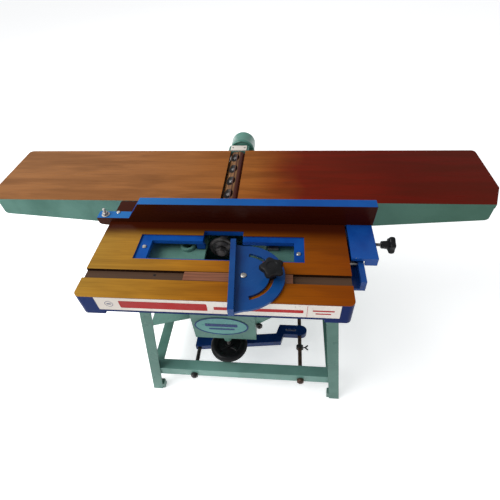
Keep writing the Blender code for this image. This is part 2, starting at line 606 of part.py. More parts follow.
foot_x = (0.376, 0.452)
foot_y = (-0.250, FENCE_Y[1])
fence_foot = box("fence_foot", foot_x, foot_y, (-0.012, 0), "blue")
join(fence_foot, box("fence_foot_cheek", (0.430, foot_x[1]), (-0.215, -0.110), (-0.046, -0.006)),
     box("fence_foot_lip", (0.416, foot_x[1]), (foot_y[0], foot_y[0] + 0.008), (-0.030, -0.006)))
cut(fence_foot, rod("fence_foot_hole", (0.42, CLAMP_Y, CLAMP_Z), (0.46, CLAMP_Y, CLAMP_Z), 0.0056))


def lobed(radius, depth, lobes, steps):
    """Closed outline of a lobed hand knob."""
    points = []
    for i in range(steps):
        angle = 2 * pi * i / steps
        reach = radius - depth * (1 - cos(lobes * angle)) / 2
        points.append((reach * cos(angle), reach * sin(angle)))
    return points


def hand_knob(name, centre, direction, radius, head, hub, hub_radius):
    """A lobed knob on its hub; lengths run out along the direction."""
    knob = plate(name, [lobed(radius, radius * 0.22, 5, 30)], head[0], head[1], "XY", "black")
    knob.location = centre
    knob.rotation_euler = axis_matrix(direction).to_euler()
    seat = head[0] + 0.003
    hub_profile = [(0, seat), (hub_radius * 1.15, seat), (hub_radius, hub), (0, hub)]
    return join(knob, turned(name + "_hub", hub_profile, centre, direction, steps=24))


clamp_base = (RAIL_X[1] + 0.0005, CLAMP_Y, CLAMP_Z)
clamp_profile = [(0, 0.0620), (0.0050, 0.0620), (0.0050, 0), (0, 0)]
turned("clamp_screw", clamp_profile, clamp_base, (1, 0, 0), "steel", 20)
hand_knob("fence_knob", clamp_base, (1, 0, 0), 0.027, (0.0830, 0.1020), 0.0623, 0.0115)

# ---- mitre gauge ----
gauge_bar = box("gauge_bar", (-0.095, 0.210), (PIVOT[1] - 0.0155, PIVOT[1] + 0.0155),
                (-SLOT_DEPTH + 0.0005, -0.0005), "steel")
square = about(*PIVOT, GAUGE_TURN)
disc = [(PIVOT[0] + x, PIVOT[1] + y) for x, y in [(-0.030, -0.122), *arc(0, 0, GAUGE_R, -90, 90, 28),
                                                 (-0.030, 0.122)]]
slot_inner = arc(*PIVOT, GAUGE_SLOT_R - 0.0064, -79, 79, 24)
slot_outer = arc(*PIVOT, GAUGE_SLOT_R + 0.0064, 79, -79, 24)
gauge_head = plate("gauge_head", [disc, slot_inner + slot_outer], 0.0006, 0.0086, "XY", "blue",
                   (*PIVOT, 0), square)
flange_loop = [(PIVOT[0] - 0.038, PIVOT[1] - 0.125), (PIVOT[0] - 0.022, PIVOT[1] - 0.125),
               (PIVOT[0] - 0.022, PIVOT[1] + 0.125), (PIVOT[0] - 0.038, PIVOT[1] + 0.125)]
join(gauge_head, plate("gauge_flange", [flange_loop], 0.0006, 0.030, "XY", turn=square))
cut(gauge_head, rod("gauge_pivot_hole", (*PIVOT, -0.01), (*PIVOT, 0.02), 0.0056))
turned("pivot_screw", [(0, 0.0125), (0.0065, 0.0125), (0.0090, 0.0100), (0.0090, 0.0090), (0.0050, 0.0090),
                       (0.0050, -0.0002), (0, -0.0002)], (*PIVOT, 0), (0, 0, 1), "steel", 24)
knob_at = (PIVOT[0] + GAUGE_SLOT_R, PIVOT[1])
rod("gauge_stud", (*knob_at, -0.0002), (*knob_at, 0.0300), 0.0042, "steel", 20)
gauge_knob = hand_knob("gauge_knob", (*knob_at, 0), (0, 0, 1), 0.035, (0.034, 0.054), 0.0092, 0.0125)
cut(gauge_knob, rod("gauge_knob_bore", (*knob_at, 0), (*knob_at, 0.0304), 0.0047, sides=20))

# ---- cross arm on the guide rods ----
arm_loop = [(-0.178, -0.217), (-0.146, -0.215), (0.181, -0.178), (0.192, -0.141), (0.268, -0.141),
            *arc(0.268, -0.118, 0.023, -75, 75, 6), (0.268, -0.095), (0.174, -0.095), (0.160, -0.139),
            (-0.146, -0.174), (-0.178, -0.172)]
arm_slot = [*arc(0.240, -0.119, 0.006, -90, 90, 6), *arc(0.206, -0.119, 0.006, 90, 270, 6)]
cross_arm = plate("cross_arm", [arm_loop, arm_slot], *ARM_Z, "XY", "blue")
cut(cross_arm, *[rod(f"cross_arm_eye_{i}", (x, -0.26, ROD_Z), (x, -0.07, ROD_Z), ROD_R + 0.0006)
                 for i, x in enumerate(ROD_X)])

eye = ROD_R + 0.0006
collar_profile = [(COLLAR_R, 0.008), (COLLAR_R, -0.008), (eye, -0.008), (eye, 0.008)]
turned("stop_collar", collar_profile, (ROD_X[1], COLLAR_Y, ROD_Z), (0, 1, 0), "dark_steel", 28)
wing_start = (ROD_X[1] + COLLAR_R + 0.0005, COLLAR_Y, ROD_Z)
wing_screw = turned("wing_screw", [(0, 0.010), (0.0030, 0.010), (0.0030, 0), (0, 0)], wing_start, (1, 0, 0),
                    "dark_steel", 16)
wing_loop = [(-0.004, 0.007), (-0.012, 0.020), (-0.005, 0.020), (0, 0.012), (0.005, 0.020), (0.012, 0.020),
             (0.004, 0.007)]
wings = plate("wing_screw_wings", [wing_loop], -0.0015, 0.0015, "XZ")
wings.location = wing_start
wings.rotation_euler = axis_matrix((1, 0, 0)).to_euler()
join(wing_screw, wings)
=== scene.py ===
"""Visual model of the combination planer and jointer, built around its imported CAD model.

Positions are written as in the CAD source: X along the tables, Y from the planer tables' front edge
away from the operator, Z up from the table surface. place() turns them into the frame's coordinates.
"""
from math import cos, pi, radians, sin

import bmesh
import bpy
from mathutils import Matrix, Vector


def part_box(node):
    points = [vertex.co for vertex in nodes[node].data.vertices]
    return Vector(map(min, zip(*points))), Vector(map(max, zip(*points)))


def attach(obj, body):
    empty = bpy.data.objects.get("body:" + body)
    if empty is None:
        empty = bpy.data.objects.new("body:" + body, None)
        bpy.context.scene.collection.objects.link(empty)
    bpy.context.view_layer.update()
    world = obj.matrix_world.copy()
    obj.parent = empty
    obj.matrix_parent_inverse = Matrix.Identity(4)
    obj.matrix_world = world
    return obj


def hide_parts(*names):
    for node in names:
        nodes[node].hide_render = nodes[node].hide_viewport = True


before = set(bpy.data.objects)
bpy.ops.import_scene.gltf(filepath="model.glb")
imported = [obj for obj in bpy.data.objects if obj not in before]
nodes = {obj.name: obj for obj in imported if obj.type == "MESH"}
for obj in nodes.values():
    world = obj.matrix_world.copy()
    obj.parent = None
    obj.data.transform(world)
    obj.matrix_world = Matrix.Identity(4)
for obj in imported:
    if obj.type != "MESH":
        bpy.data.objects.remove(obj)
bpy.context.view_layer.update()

TABLE_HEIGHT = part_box("infeed_table")[1].z
DEPTH_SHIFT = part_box("infeed_table")[0].y
CUTTER_X = -0.0085
CUTTER_Z = -0.0375
SLOT_Y = -0.333
SAW_FRONT = -0.415
DATUM = Matrix.Translation((0, DEPTH_SHIFT, TABLE_HEIGHT))


def place(x, y, z):
    """A point of the CAD source in the frame's coordinates."""
    return Vector((x, y + DEPTH_SHIFT, z + TABLE_HEIGHT))


# ---- procedural materials ----
def socket_name(word):
    """A shader socket's name from a keyword."""
    return word.replace("_", " ").title().replace("Ior", "IOR")


class Finish:
    """A procedural material under construction; most methods return a node socket."""

    def __init__(self, name, **uniform):
        self.material = bpy.data.materials.new(name)
        self.material.use_nodes = True
        self.tree = self.material.node_tree
        self.shader = self.tree.nodes["Principled BSDF"]
        self.coords = self.tree.nodes.new("ShaderNodeTexCoord")
        for socket, value in uniform.items():
            self.shader.inputs[socket_name(socket)].default_value = value

    def add(self, kind, inputs=None, **settings):
        node = self.tree.nodes.new("ShaderNode" + kind)
        for key, value in settings.items():
            setattr(node, key, value)
        for key, value in (inputs or {}).items():
            self.feed(node.inputs[key], value)
        return node

    def feed(self, socket, value):
        if isinstance(value, bpy.types.NodeSocket):
            self.tree.links.new(value, socket)
        else:
            socket.default_value = value

    def set(self, **sockets):
        for socket, value in sockets.items():
            self.feed(self.shader.inputs[socket_name(socket)], value)
        return self

    def where(self, axis):
        """The X, Y or Z coordinate of the surface point, in metres."""
        return self.add("SeparateXYZ", {0: self.coords.outputs["Object"]}).outputs[axis]

    def facing(self, axis):
        """How far the surface faces along X, Y or Z."""
        return self.add("SeparateXYZ", {0: self.coords.outputs["Normal"]}).outputs[axis]

    def noise(self, scale, detail=3.0, stretch=(1, 1, 1), distortion=0.0, roughness=0.55):
        vector = self.add("Mapping", {"Vector": self.coords.outputs["Object"], "Scale": stretch})
        node = self.add("TexNoise", {"Vector": vector.outputs[0], "Scale": scale, "Detail": detail,
                                     "Distortion": distortion, "Roughness": roughness})
        return node.outputs["Fac"]

    def calc(self, operation, a, b=0.0):
        return self.add("Math", {0: a, 1: b}, operation=operation).outputs[0]

    def span(self, value, low, high, to_low=0.0, to_high=1.0, smooth=True):
        """The value remapped from low..high, clamped."""
        kind = "SMOOTHSTEP" if smooth else "LINEAR"
        node = self.add("MapRange", {"Value": value, "From Min": low, "From Max": high, "To Min": to_low,
                                     "To Max": to_high}, interpolation_type=kind)
        return node.outputs[0]

    def mix(self, factor, a, b, blend="MIX"):
        node = self.add("Mix", data_type="RGBA", blend_type=blend)
        for socket, value in ((node.inputs[0], factor), (node.inputs[6], a), (node.inputs[7], b)):
            self.feed(socket, (*value, 1) if isinstance(value, tuple) else value)
        return node.outputs[2]

    def ramp(self, value, *stops):
        node = self.add("ValToRGB", {0: value})
        elements = node.color_ramp.elements
        while len(elements) < len(stops):
            elements.new(0.5)
        for element, (position, colour) in zip(elements, stops):
            element.position = position
            element.color = (*colour, 1)
        return node.outputs[0]

    def bump(self, height, strength, distance=0.001, under=None):
        inputs = {"Height": height, "Strength": strength, "Distance": distance}
        if under is not None:
            inputs["Normal"] = under
        return self.add("Bump", inputs).outputs[0]


def enamel(name, light, deep, roughness=0.30, chips=0.0, under=(0.20, 0.19, 0.18), shine=0.05):
    """Brushed gloss enamel: tonal drift, grime, orange peel, and chips down to metal."""
    look = Finish(name, coat_weight=shine, coat_roughness=0.10, specular_ior_level=0.18)
    drift = look.noise(5.0, 4.0)
    colour = look.mix(look.span(drift, 0.35, 0.68), light, deep)
    streaks = look.noise(9.0, 3.0, (1, 1, 0.25), 0.4)
    colour = look.mix(look.span(streaks, 0.55, 0.85, 0, 0.35), colour, tuple(c * 0.7 for c in deep))
    specks = look.noise(160.0, 2.0)
    colour = look.mix(look.span(specks, 0.66, 0.74, 0, 0.45), colour, tuple(c * 0.45 for c in deep))
    rough = look.span(look.noise(14.0, 4.0), 0.3, 0.75, roughness - 0.07, roughness + 0.16)
    waves = look.bump(look.noise(38.0, 3.0), 0.10, 0.002)
    normal = look.bump(look.noise(420.0, 1.0), 0.05, 0.0006, waves)
    if chips:
        patches = look.span(look.noise(8.0, 2.0), 0.4, 0.7, 0, 0.12)
        worn = look.calc("ADD", look.noise(70.0, 5.0), patches)
        worn = look.span(worn, 0.78 - chips, 0.80 - chips, smooth=False)
        colour = look.mix(worn, colour, under)
        look.set(metallic=look.calc("MULTIPLY", worn, 0.6))
        rough = look.calc("ADD", rough, look.calc("MULTIPLY", worn, 0.15))
        normal = look.bump(look.calc("SUBTRACT", 1.0, worn), 0.4, 0.0004, normal)
    return look.set(base_color=colour, roughness=rough, normal=normal).material


GREEN_LIGHT = (0.106, 0.222, 0.184)
GREEN_DEEP = (0.070, 0.160, 0.130)
BLUE_LIGHT = (0.0060, 0.066, 0.290)
BLUE_DEEP = (0.0025, 0.030, 0.185)


def lacquer_colour(look, ramp_stops, axis_span=(-0.9, 0.9), contrast=1.0):
    """Amber lacquer over machined iron, streaked along X; its depth follows ramp_stops along X, whose
    lighter -X end is in part painted sheen.
    """
    along = look.span(look.where("X"), *axis_span, smooth=False)
    wander = look.span(look.noise(2.2, 3.0), 0.2, 0.8, -0.05, 0.05)
    base = look.ramp(look.calc("ADD", along, wander), *ramp_stops)
    broad = look.noise(2.6, 4.0, (1, 7, 7), 0.6)
    fine = look.noise(7.0, 3.0, (1, 36, 36))
    shade = look.mix(look.span(broad, 0.36, 0.66, 0, 0.34 * contrast), base, (0.035, 0.008, 0.002))
    shade = look.mix(look.span(fine, 0.42, 0.75, 0, 0.20 * contrast), shade, (0.050, 0.012, 0.004))
    haze = look.noise(4.0, 3.0, (1, 2.2, 2.2), 0.3)
    shade = look.mix(look.span(haze, 0.48, 0.75, 0, 0.16 * contrast), shade, base)
    grain = look.noise(14.0, 4.0, (1, 90, 90))
    shade = look.mix(look.span(grain, 0.50, 0.72, 0, 0.16 * contrast), shade, (0.030, 0.008, 0.003))
    stains = look.noise(6.5, 5.0, (1, 2.2, 2.2), 0.8)
    shade = look.mix(look.span(stains, 0.68, 0.80, 0, 0.35), shade, (0.045, 0.018, 0.010))
    return shade, fine, broad


def lacquered(name, ramp_stops, light, deep, axis_span=(-0.9, 0.9), saw_table=False):
    """Lacquered iron on faces at the table's surface that look up; enamel elsewhere. Painted shade
    darkens the planer tables' enamel towards +X and beside the cutter slot, and the saw table's top from
    in front of the fence backwards.
    """
    look = Finish(name, coat_weight=0.01, coat_roughness=0.25, specular_ior_level=0.04,
                  specular_tint=(1.0, 0.70, 0.50, 1.0))
    colour, fine, broad = lacquer_colour(look, ramp_stops, axis_span)
    if saw_table:
        # Painted shade: the saw table's top darkens to near-black red from just in front of the fence
        # backwards.
        shade_by_fence = look.span(look.where("Y"), -0.200 + DEPTH_SHIFT, -0.135 + DEPTH_SHIFT)
        colour = look.mix(shade_by_fence, colour, (0.036, 0.0055, 0.0016))
    height = look.calc("SUBTRACT", look.where("Z"), TABLE_HEIGHT)
    level = look.span(height, -0.0034, -0.0026, smooth=False)
    upward = look.span(look.facing("Z"), 0.30, 0.55, smooth=False)
    front = look.span(look.facing("Y"), -0.30, -0.55, smooth=False)
    lacquer_faces = look.calc("MAXIMUM", upward, front) if saw_table else upward
    level = look.calc("MULTIPLY", level, lacquer_faces)
    paint = look.mix(look.span(look.noise(6.0, 4.0), 0.35, 0.68), light, deep)
    streaks = look.span(look.noise(11.0, 3.0, (1, 1, 0.25), 0.4), 0.56, 0.85, 0, 0.35)
    paint = look.mix(streaks, paint, tuple(c * 0.7 for c in deep))
    if not saw_table:
        # Painted shade: the painted faces darken towards +X, away from the light.
        right_end_shade = look.span(look.where("X"), 0.0, 0.85, 0, 0.75)
        paint = look.mix(right_end_shade, paint, (0.045, 0.105, 0.074))
        # Dark red on the painted faces beside the cutter slot: in part the lacquered lips' own colour,
        # in part painted shade in the slot.
        offset = look.calc("ABSOLUTE", look.calc("SUBTRACT", look.where("X"), CUTTER_X))
        cutter_lip_tone_and_shade = look.span(offset, 0.058, 0.052, smooth=False)
        paint = look.mix(cutter_lip_tone_and_shade, paint, (0.050, 0.011, 0.005))
    colour = look.mix(level, paint, colour)
    rough = look.span(broad, 0.3, 0.7, 0.24, 0.36)
    rough = look.calc("ADD", rough, look.span(level, 0, 1, 0.04, 0.0))
    normal = look.add("Mix", data_type="VECTOR")
    look.feed(normal.inputs[0], level)
    look.feed(normal.inputs[4], look.bump(look.noise(38.0, 3.0), 0.10, 0.002))
    look.feed(normal.inputs[5], look.bump(fine, 0.06, 0.0004))
    if saw_table:
        colour = saw_table_details(look, colour, level, fine)
    return look.set(base_color=colour, roughness=rough, normal=normal.outputs[1]).material


def saw_table_details(look, colour, level, fine):
    """Deep blue painted shade on the saw table's painted front, and bare iron in its mitre slot, whose
    side faces are darkened to near black as painted shade.
    """
    # Painted shade: the painted faces at the saw table's front darken to deep blue.
    front_face_shade = look.span(look.where("Y"), -0.395 + DEPTH_SHIFT, -0.412 + DEPTH_SHIFT, 0, 0.85)
    front_face_shade = look.calc("MULTIPLY", front_face_shade, look.calc("SUBTRACT", 1.0, level))
    colour = look.mix(front_face_shade, colour, (0.0010, 0.0100, 0.0700))
    below = look.calc("SUBTRACT", look.where("Z"), TABLE_HEIGHT)
    floor_level = look.span(below, -0.0070, -0.0085, smooth=False)
    upward = look.span(look.facing("Z"), 0.30, 0.55, smooth=False)
    forward = look.span(look.where("Y"), -0.308 + DEPTH_SHIFT, -0.312 + DEPTH_SHIFT, smooth=False)
    slot_bottom = look.calc("MULTIPLY", look.calc("MULTIPLY", floor_level, upward), forward)
    bare = look.mix(fine, (0.100, 0.052, 0.028), (0.048, 0.032, 0.026))
    colour = look.mix(slot_bottom, colour, bare)
    # Painted shade: the mitre slot's side faces turn near black.
    middle = look.calc("ABSOLUTE", look.calc("SUBTRACT", look.where("Y"), SLOT_Y + DEPTH_SHIFT))
    upright = look.span(look.calc("ABSOLUTE", look.facing("Y")), 0.5, 0.7, smooth=False)
    walls = look.calc("MULTIPLY", look.span(middle, 0.0200, 0.0185, smooth=False), upright)
    return look.mix(walls, colour, (0.024, 0.009, 0.005))


def machined(name, bright, dull, roughness=0.32, metallic=0.9, stretch=(1, 1, 1), scale=60.0):
    """Machined steel with tool marks, oil stain and a little rust."""
    look = Finish(name)
    marks = look.noise(scale, 3.0, stretch)
    colour = look.mix(look.span(marks, 0.35, 0.7), bright, dull)
    rust = look.noise(22.0, 5.0, distortion=0.5)
    colour = look.mix(look.span(rust, 0.58, 0.75, 0, 0.45), colour, (0.10, 0.035, 0.012))
    rough = look.span(look.noise(35.0, 3.0), 0.3, 0.7, roughness - 0.08, roughness + 0.15)
    normal = look.bump(marks, 0.12, 0.0004)
    return look.set(base_color=colour, roughness=rough, metallic=metallic, normal=normal).material


def moulded(name, colour, roughness=0.32, coat=0.35):
    """Moulded plastic or rubber with a faint grain, smears and dust."""
    look = Finish(name, coat_weight=coat, coat_roughness=0.18, specular_ior_level=0.16)
    dust = look.span(look.noise(26.0, 4.0), 0.48, 0.78, 0, 0.35)
    dusty = look.mix(dust, colour, tuple(c * 1.8 + 0.006 for c in colour))
    rough = look.span(look.noise(40.0, 3.0), 0.3, 0.7, roughness - 0.06, roughness + 0.18)
    normal = look.bump(look.noise(300.0, 2.0), 0.10, 0.0005)
    return look.set(base_color=dusty, roughness=rough, normal=normal).material


# Lacquer colour along X: in part the iron's own tone, in part painted sheen, lighter towards -X where
# the light falls.
PLANER_TONE_AND_SHEEN = (
    (0.00, (0.272, 0.112, 0.034)), (0.38, (0.296, 0.112, 0.032)), (0.50, (0.300, 0.096, 0.018)),
    (0.57, (0.215, 0.043, 0.007)), (0.63, (0.150, 0.0110, 0.003)), (0.80, (0.110, 0.0050, 0.0016)),
    (1.00, (0.105, 0.0065, 0.0020)),
)
SAW_TONE_AND_SHEEN = (
    (0.00, (0.350, 0.185, 0.026)), (0.35, (0.375, 0.158, 0.014)), (0.60, (0.290, 0.084, 0.004)),
    (1.00, (0.200, 0.040, 0.002)),
)
# The fence's near face: dark red-brown lacquer, darkened further as painted shade.
FENCE_SHADED_RAMP = (
    (0.0, (0.050, 0.0110, 0.0040)), (0.4, (0.026, 0.0036, 0.0014)), (1.0, (0.030, 0.0030, 0.0012)),
)

green = enamel("green_enamel", GREEN_LIGHT, GREEN_DEEP, 0.30)
green_edge = enamel("green_enamel_edge", GREEN_LIGHT, GREEN_DEEP, 0.30, chips=0.13)
blue = enamel("blue_enamel", BLUE_LIGHT, BLUE_DEEP, 0.26)
blue_edge = enamel("blue_enamel_edge", BLUE_LIGHT, BLUE_DEEP, 0.26, 0.10, (0.30, 0.32, 0.36))
planer_iron = lacquered("planer_iron", PLANER_TONE_AND_SHEEN, GREEN_LIGHT, GREEN_DEEP)
saw_iron = lacquered("saw_iron", SAW_TONE_AND_SHEEN, BLUE_LIGHT, BLUE_DEEP, (-0.383, 0.369), saw_table=True)
steel = machined("machined_steel", (0.52, 0.50, 0.47), (0.30, 0.28, 0.26))
red_steel = machined("lacquered_steel", (0.235, 0.082, 0.034), (0.150, 0.046, 0.020), 0.42, 0.25,
                     (1, 24, 24), 8.0)
# Near-black steel: oiled steel, darkened further as painted shade in the cutter head's hollows and
# slots; the slot screw uses it too.
oily_steel_and_shade = machined("scooped_steel", (0.020, 0.015, 0.013), (0.009, 0.007, 0.007), 0.5, 0.3)
worn_steel = machined("worn_steel", (0.230, 0.215, 0.210), (0.110, 0.100, 0.098), 0.36, 0.8)
brown_steel = machined("brown_steel", (0.110, 0.062, 0.042), (0.050, 0.030, 0.022), 0.45, 0.6)
black_steel = machined("black_steel", (0.060, 0.056, 0.055), (0.022, 0.020, 0.020), 0.36, 0.7)
black = moulded("black_plastic", (0.0055, 0.0055, 0.0062), 0.34, 0.04)
rubber = moulded("belt_rubber", (0.014, 0.014, 0.014), 0.7, 0.0)
cream = enamel("cream_enamel", (0.70, 0.655, 0.60), (0.60, 0.54, 0.48), 0.38)
badge_green = enamel("badge_green", (0.130, 0.330, 0.290), (0.085, 0.250, 0.235), 0.24)


def head_finish():
    """Tan machined steel on the cutter head, with a dark red band of painted shadow on its +X side; dark
    oiled steel on its arbor.
    """
    look = Finish("head_finish", specular_ior_level=0.3)
    marks = look.noise(50.0, 3.0, (1, 0.3, 1))
    tan = look.mix(look.span(marks, 0.35, 0.7), (0.280, 0.135, 0.050), (0.150, 0.062, 0.024))
    rust = look.noise(26.0, 5.0, distortion=0.5)
    tan = look.mix(look.span(rust, 0.55, 0.75, 0, 0.5), tan, (0.085, 0.026, 0.010))
    oiled = look.mix(look.span(marks, 0.35, 0.7), (0.060, 0.052, 0.050), (0.024, 0.020, 0.019))
    offset = look.calc("SUBTRACT", look.where("X"), CUTTER_X)
    upward = look.span(look.facing("Z"), 0.2, 0.5)
    # Painted shadow: the upward faces on the head's +X side turn dark red.
    band = look.calc("MULTIPLY", look.span(offset, 0.0065, 0.0130), upward)
    tan = look.mix(band, tan, (0.090, 0.018, 0.010))
    arbor = look.span(look.where("Y"), 0.001 + DEPTH_SHIFT, -0.001 + DEPTH_SHIFT, smooth=False)
    colour = look.mix(arbor, tan, oiled)
    rough = look.span(look.noise(35.0, 3.0), 0.3, 0.7, 0.30, 0.48)
    normal = look.bump(marks, 0.12, 0.0004)
    return look.set(base_color=colour, roughness=rough, metallic=0.35, normal=normal).material


def fence_finish():
    """Blue enamel with a painted sheen on its top towards -X, and a dark lacquered near face darkened as
    painted shade.
    """
    look = Finish("fence_finish", coat_weight=0.01, coat_roughness=0.2, specular_ior_level=0.06)
    iron, fine, broad = lacquer_colour(look, FENCE_SHADED_RAMP, (-0.43, 0.455), 0.5)
    drift = look.noise(4.0, 3.0)
    paint = look.mix(look.span(drift, 0.35, 0.68), BLUE_LIGHT, BLUE_DEEP)
    # Painted sheen: the fence's top pales towards -X, where the light falls.
    top_sheen = look.span(look.where("X"), 0.30, -0.35, 0.15, 0.75)
    top_sheen = look.calc("MULTIPLY", top_sheen, look.span(look.facing("Z"), 0.6, 0.9, smooth=False))
    paint = look.mix(top_sheen, paint, (0.018, 0.150, 0.410))
    # The near face takes the dark lacquer, which paints shade onto it.
    near = look.span(look.facing("Y"), -0.55, -0.80, smooth=False)
    colour = look.mix(near, paint, iron)
    rough = look.span(broad, 0.3, 0.7, 0.22, 0.36)
    normal = look.bump(fine, 0.06, 0.0004)
    return look.set(base_color=colour, roughness=rough, normal=normal).material


fence_iron = fence_finish()
head_steel = head_finish()
# Painted shade: a near-black copy of the green enamel for the rear left leg.
green_shadow = enamel("green_enamel_painted_shade", (0.018, 0.040, 0.030), (0.008, 0.020, 0.015), 0.36)
# Painted light: a lighter copy of the green enamel, for the front beam and the weld beads.
green_painted_light = enamel("green_enamel_painted_light", (0.150, 0.310, 0.262), (0.105, 0.225, 0.190), 0.34)
gauge_blue = enamel("gauge_blue_enamel", (0.0050, 0.055, 0.205), (0.0030, 0.030, 0.150), 0.30)
glossy_green = enamel("gloss_green_enamel", (0.085, 0.235, 0.185), (0.050, 0.150, 0.118), 0.24,
                      shine=0.30)
# Painted shade: the knives take a dull dark red in place of bright steel.
knife_steel_shaded = machined("knife_steel_shaded", (0.120, 0.030, 0.016), (0.070, 0.018, 0.010), 0.40, 0.3)
navy = enamel("navy_enamel", (0.0060, 0.040, 0.190), (0.0030, 0.022, 0.110), 0.26)
bar_red = enamel("red_enamel", (0.380, 0.002, 0.003), (0.300, 0.002, 0.002), 0.40, shine=0.0)
navy_light = enamel("rail_blue_enamel", (0.0070, 0.058, 0.250), (0.0030, 0.028, 0.140), 0.26)

SLOT_FINISHES = {
    "green_paint": (green, green_edge),
    "blue_paint": (blue, blue_edge),
    "lacquered_iron": (planer_iron, planer_iron),
    "bright_steel": (steel, steel),
    "dark_steel": (black_steel, black_steel),
    "black_knob": (black, black),
    "belt_rubber": (rubber, rubber),
    "cream_paint": (cream, cream),
    "badge_enamel": (badge_green, badge_green),
}
SPECIAL_FINISHES = {"saw_table": saw_iron, "fence": fence_iron, "gauge_bar": red_steel,
                    "knife_1": knife_steel_shaded, "knife_2": knife_steel_shaded, "knife_3": knife_steel_shaded,
                    "front_beam": green_painted_light, "gauge_head": gauge_blue,
                    "leg_rear_left": green_shadow, "cross_arm": navy, "guide_rail": navy_light}
DEFAULT_EDGE_WIDTH = 0.0009
EDGE_WIDTHS = {
    "infeed_table": 0.0018, "outfeed_table": 0.0018, "saw_table": 0.0018, "fence": 0.0015,
    "knee": 0.0040, "main_body": 0.0030, "motor": 0.0030, "fence_foot": 0.0018,
    "guide_rail": 0.0018, "cross_arm": 0.0018, "gauge_head": 0.0012, "gauge_bar": 0.0006,
    "front_beam": 0.0012, "rear_beam": 0.0012, "rear_bearing_cap": 0.0008, "label_strip": 0.0002,
    "badge_plate": 0.0004,
}

for name, node in nodes.items():
    slot_name = node.material_slots[0].material.name.split(".")[0]
    face, edge = SLOT_FINISHES[slot_name]
    if name in SPECIAL_FINISHES:
        face = edge = SPECIAL_FINISHES[name]
    node.data.materials.clear()
    node.data.materials.append(face)
    node.data.materials.append(edge)
    weld = node.modifiers.new("weld", "WELD")
    weld.merge_threshold = 0.00002
    bevel = node.modifiers.new("edge", "BEVEL")
    bevel.width = EDGE_WIDTHS.get(name, DEFAULT_EDGE_WIDTH)
    bevel.segments = 2
    bevel.limit_method = "ANGLE"
    bevel.angle_limit = radians(38)
    bevel.material = 1
    bevel.harden_normals = False
    bevel.use_clamp_overlap = True


# ---- mesh building; points are written as in the CAD source ----
def aim(centre, direction):
    """Matrix that puts local Z along a direction at a point."""
    return Matrix.Translation(centre) @ Vector(direction).to_track_quat("Z", "Y").to_matrix().to_4x4()


def add_rings(bm, rings, closed=False):
    """Skin a list of rings of points; a ring of one point closes to a tip."""
    rows = [[bm.verts.new(point) for point in ring] for ring in rings]
    pairs = list(zip(rows, rows[1:])) + ([(rows[-1], rows[0])] if closed else [])
    for low, high in pairs:
        count = max(len(low), len(high))
        for i in range(count):
            j = (i + 1) % count
            corners = [low[i % len(low)], low[j % len(low)], high[j % len(high)], high[i % len(high)]]
            unique = list(dict.fromkeys(corners))
            if len(unique) > 2:
                bm.faces.new(unique)


def add_lathe(bm, profile, centre, direction, steps=48, closed=False):
    """Revolve (radius, height) points about an axis."""
    matrix = aim(centre, direction)
    rings = []
    for radius, height in profile:
        angles = [2 * pi * i / steps for i in range(steps)] if radius > 1e-7 else [0]
        rings.append([matrix @ Vector((radius * cos(a), radius * sin(a), height)) for a in angles])
    add_rings(bm, rings, closed)


def add_rod(bm, start, end, radius, steps=32, chamfer=0.0008):
    """A round bar with chamfered ends."""
    length = (Vector(end) - Vector(start)).length
    profile = [(0, 0), (radius - chamfer, 0), (radius, chamfer), (radius, length - chamfer),
               (radius - chamfer, length), (0, length)]
    add_lathe(bm, profile, start, Vector(end) - Vector(start), steps)


def add_prism(bm, outline, low, high, plane="XY", matrix=None):
    """A flat outline given a thickness across its plane."""
    seat = {"XY": lambda u, v, w: Vector((u, v, w)), "XZ": lambda u, v, w: Vector((u, w, v)),
            "YZ": lambda u, v, w: Vector((w, u, v))}[plane]
    rows = []
    for level in (low, high):
        points = [seat(u, v, level) for u, v in outline]
        rows.append([bm.verts.new(matrix @ point if matrix else point) for point in points])
    bm.faces.new(rows[0])
    bm.faces.new(rows[1])
    for i in range(len(outline)):
        j = (i + 1) % len(outline)
        bm.faces.new((rows[0][i], rows[0][j], rows[1][j], rows[1][i]))


def add_slab(bm, x, y, z, matrix=None):
    """A straight-sided block, which its piece bevels only when the piece is given a bevel width."""
    outline = [(x[0], y[0]), (x[1], y[0]), (x[1], y[1]), (x[0], y[1])]
    add_prism(bm, outline, z[0], z[1], "XY", matrix)


def add_hexagon(bm, centre, direction, radius, height, bore=0.0, steps=48):
    """A hexagon nut or bolt head whose corners are turned off at its ends."""
    matrix = aim(centre, direction)
    flat = radius * cos(pi / 6)
    turned_radius = flat * 0.97
    angles = [2 * pi * i / steps for i in range(steps)]

    def ring(level, limit):
        points = []
        for angle in angles:
            out = min(flat / cos((angle + pi / 6) % (pi / 3) - pi / 6), limit)
            points.append(matrix @ Vector((out * cos(angle), out * sin(angle), level)))
        return points

    drop = (radius - turned_radius) * 0.55
    rings = [ring(0, turned_radius), ring(drop, radius), ring(height - drop, radius),
             ring(height, turned_radius)]
    if bore:
        for level in (height, 0):
            rings.append([matrix @ Vector((bore * cos(a), bore * sin(a), level)) for a in angles])
        add_rings(bm, rings, closed=True)
    else:
        add_rings(bm, [[matrix @ Vector((0, 0, 0))]] + rings + [[matrix @ Vector((0, 0, height))]])


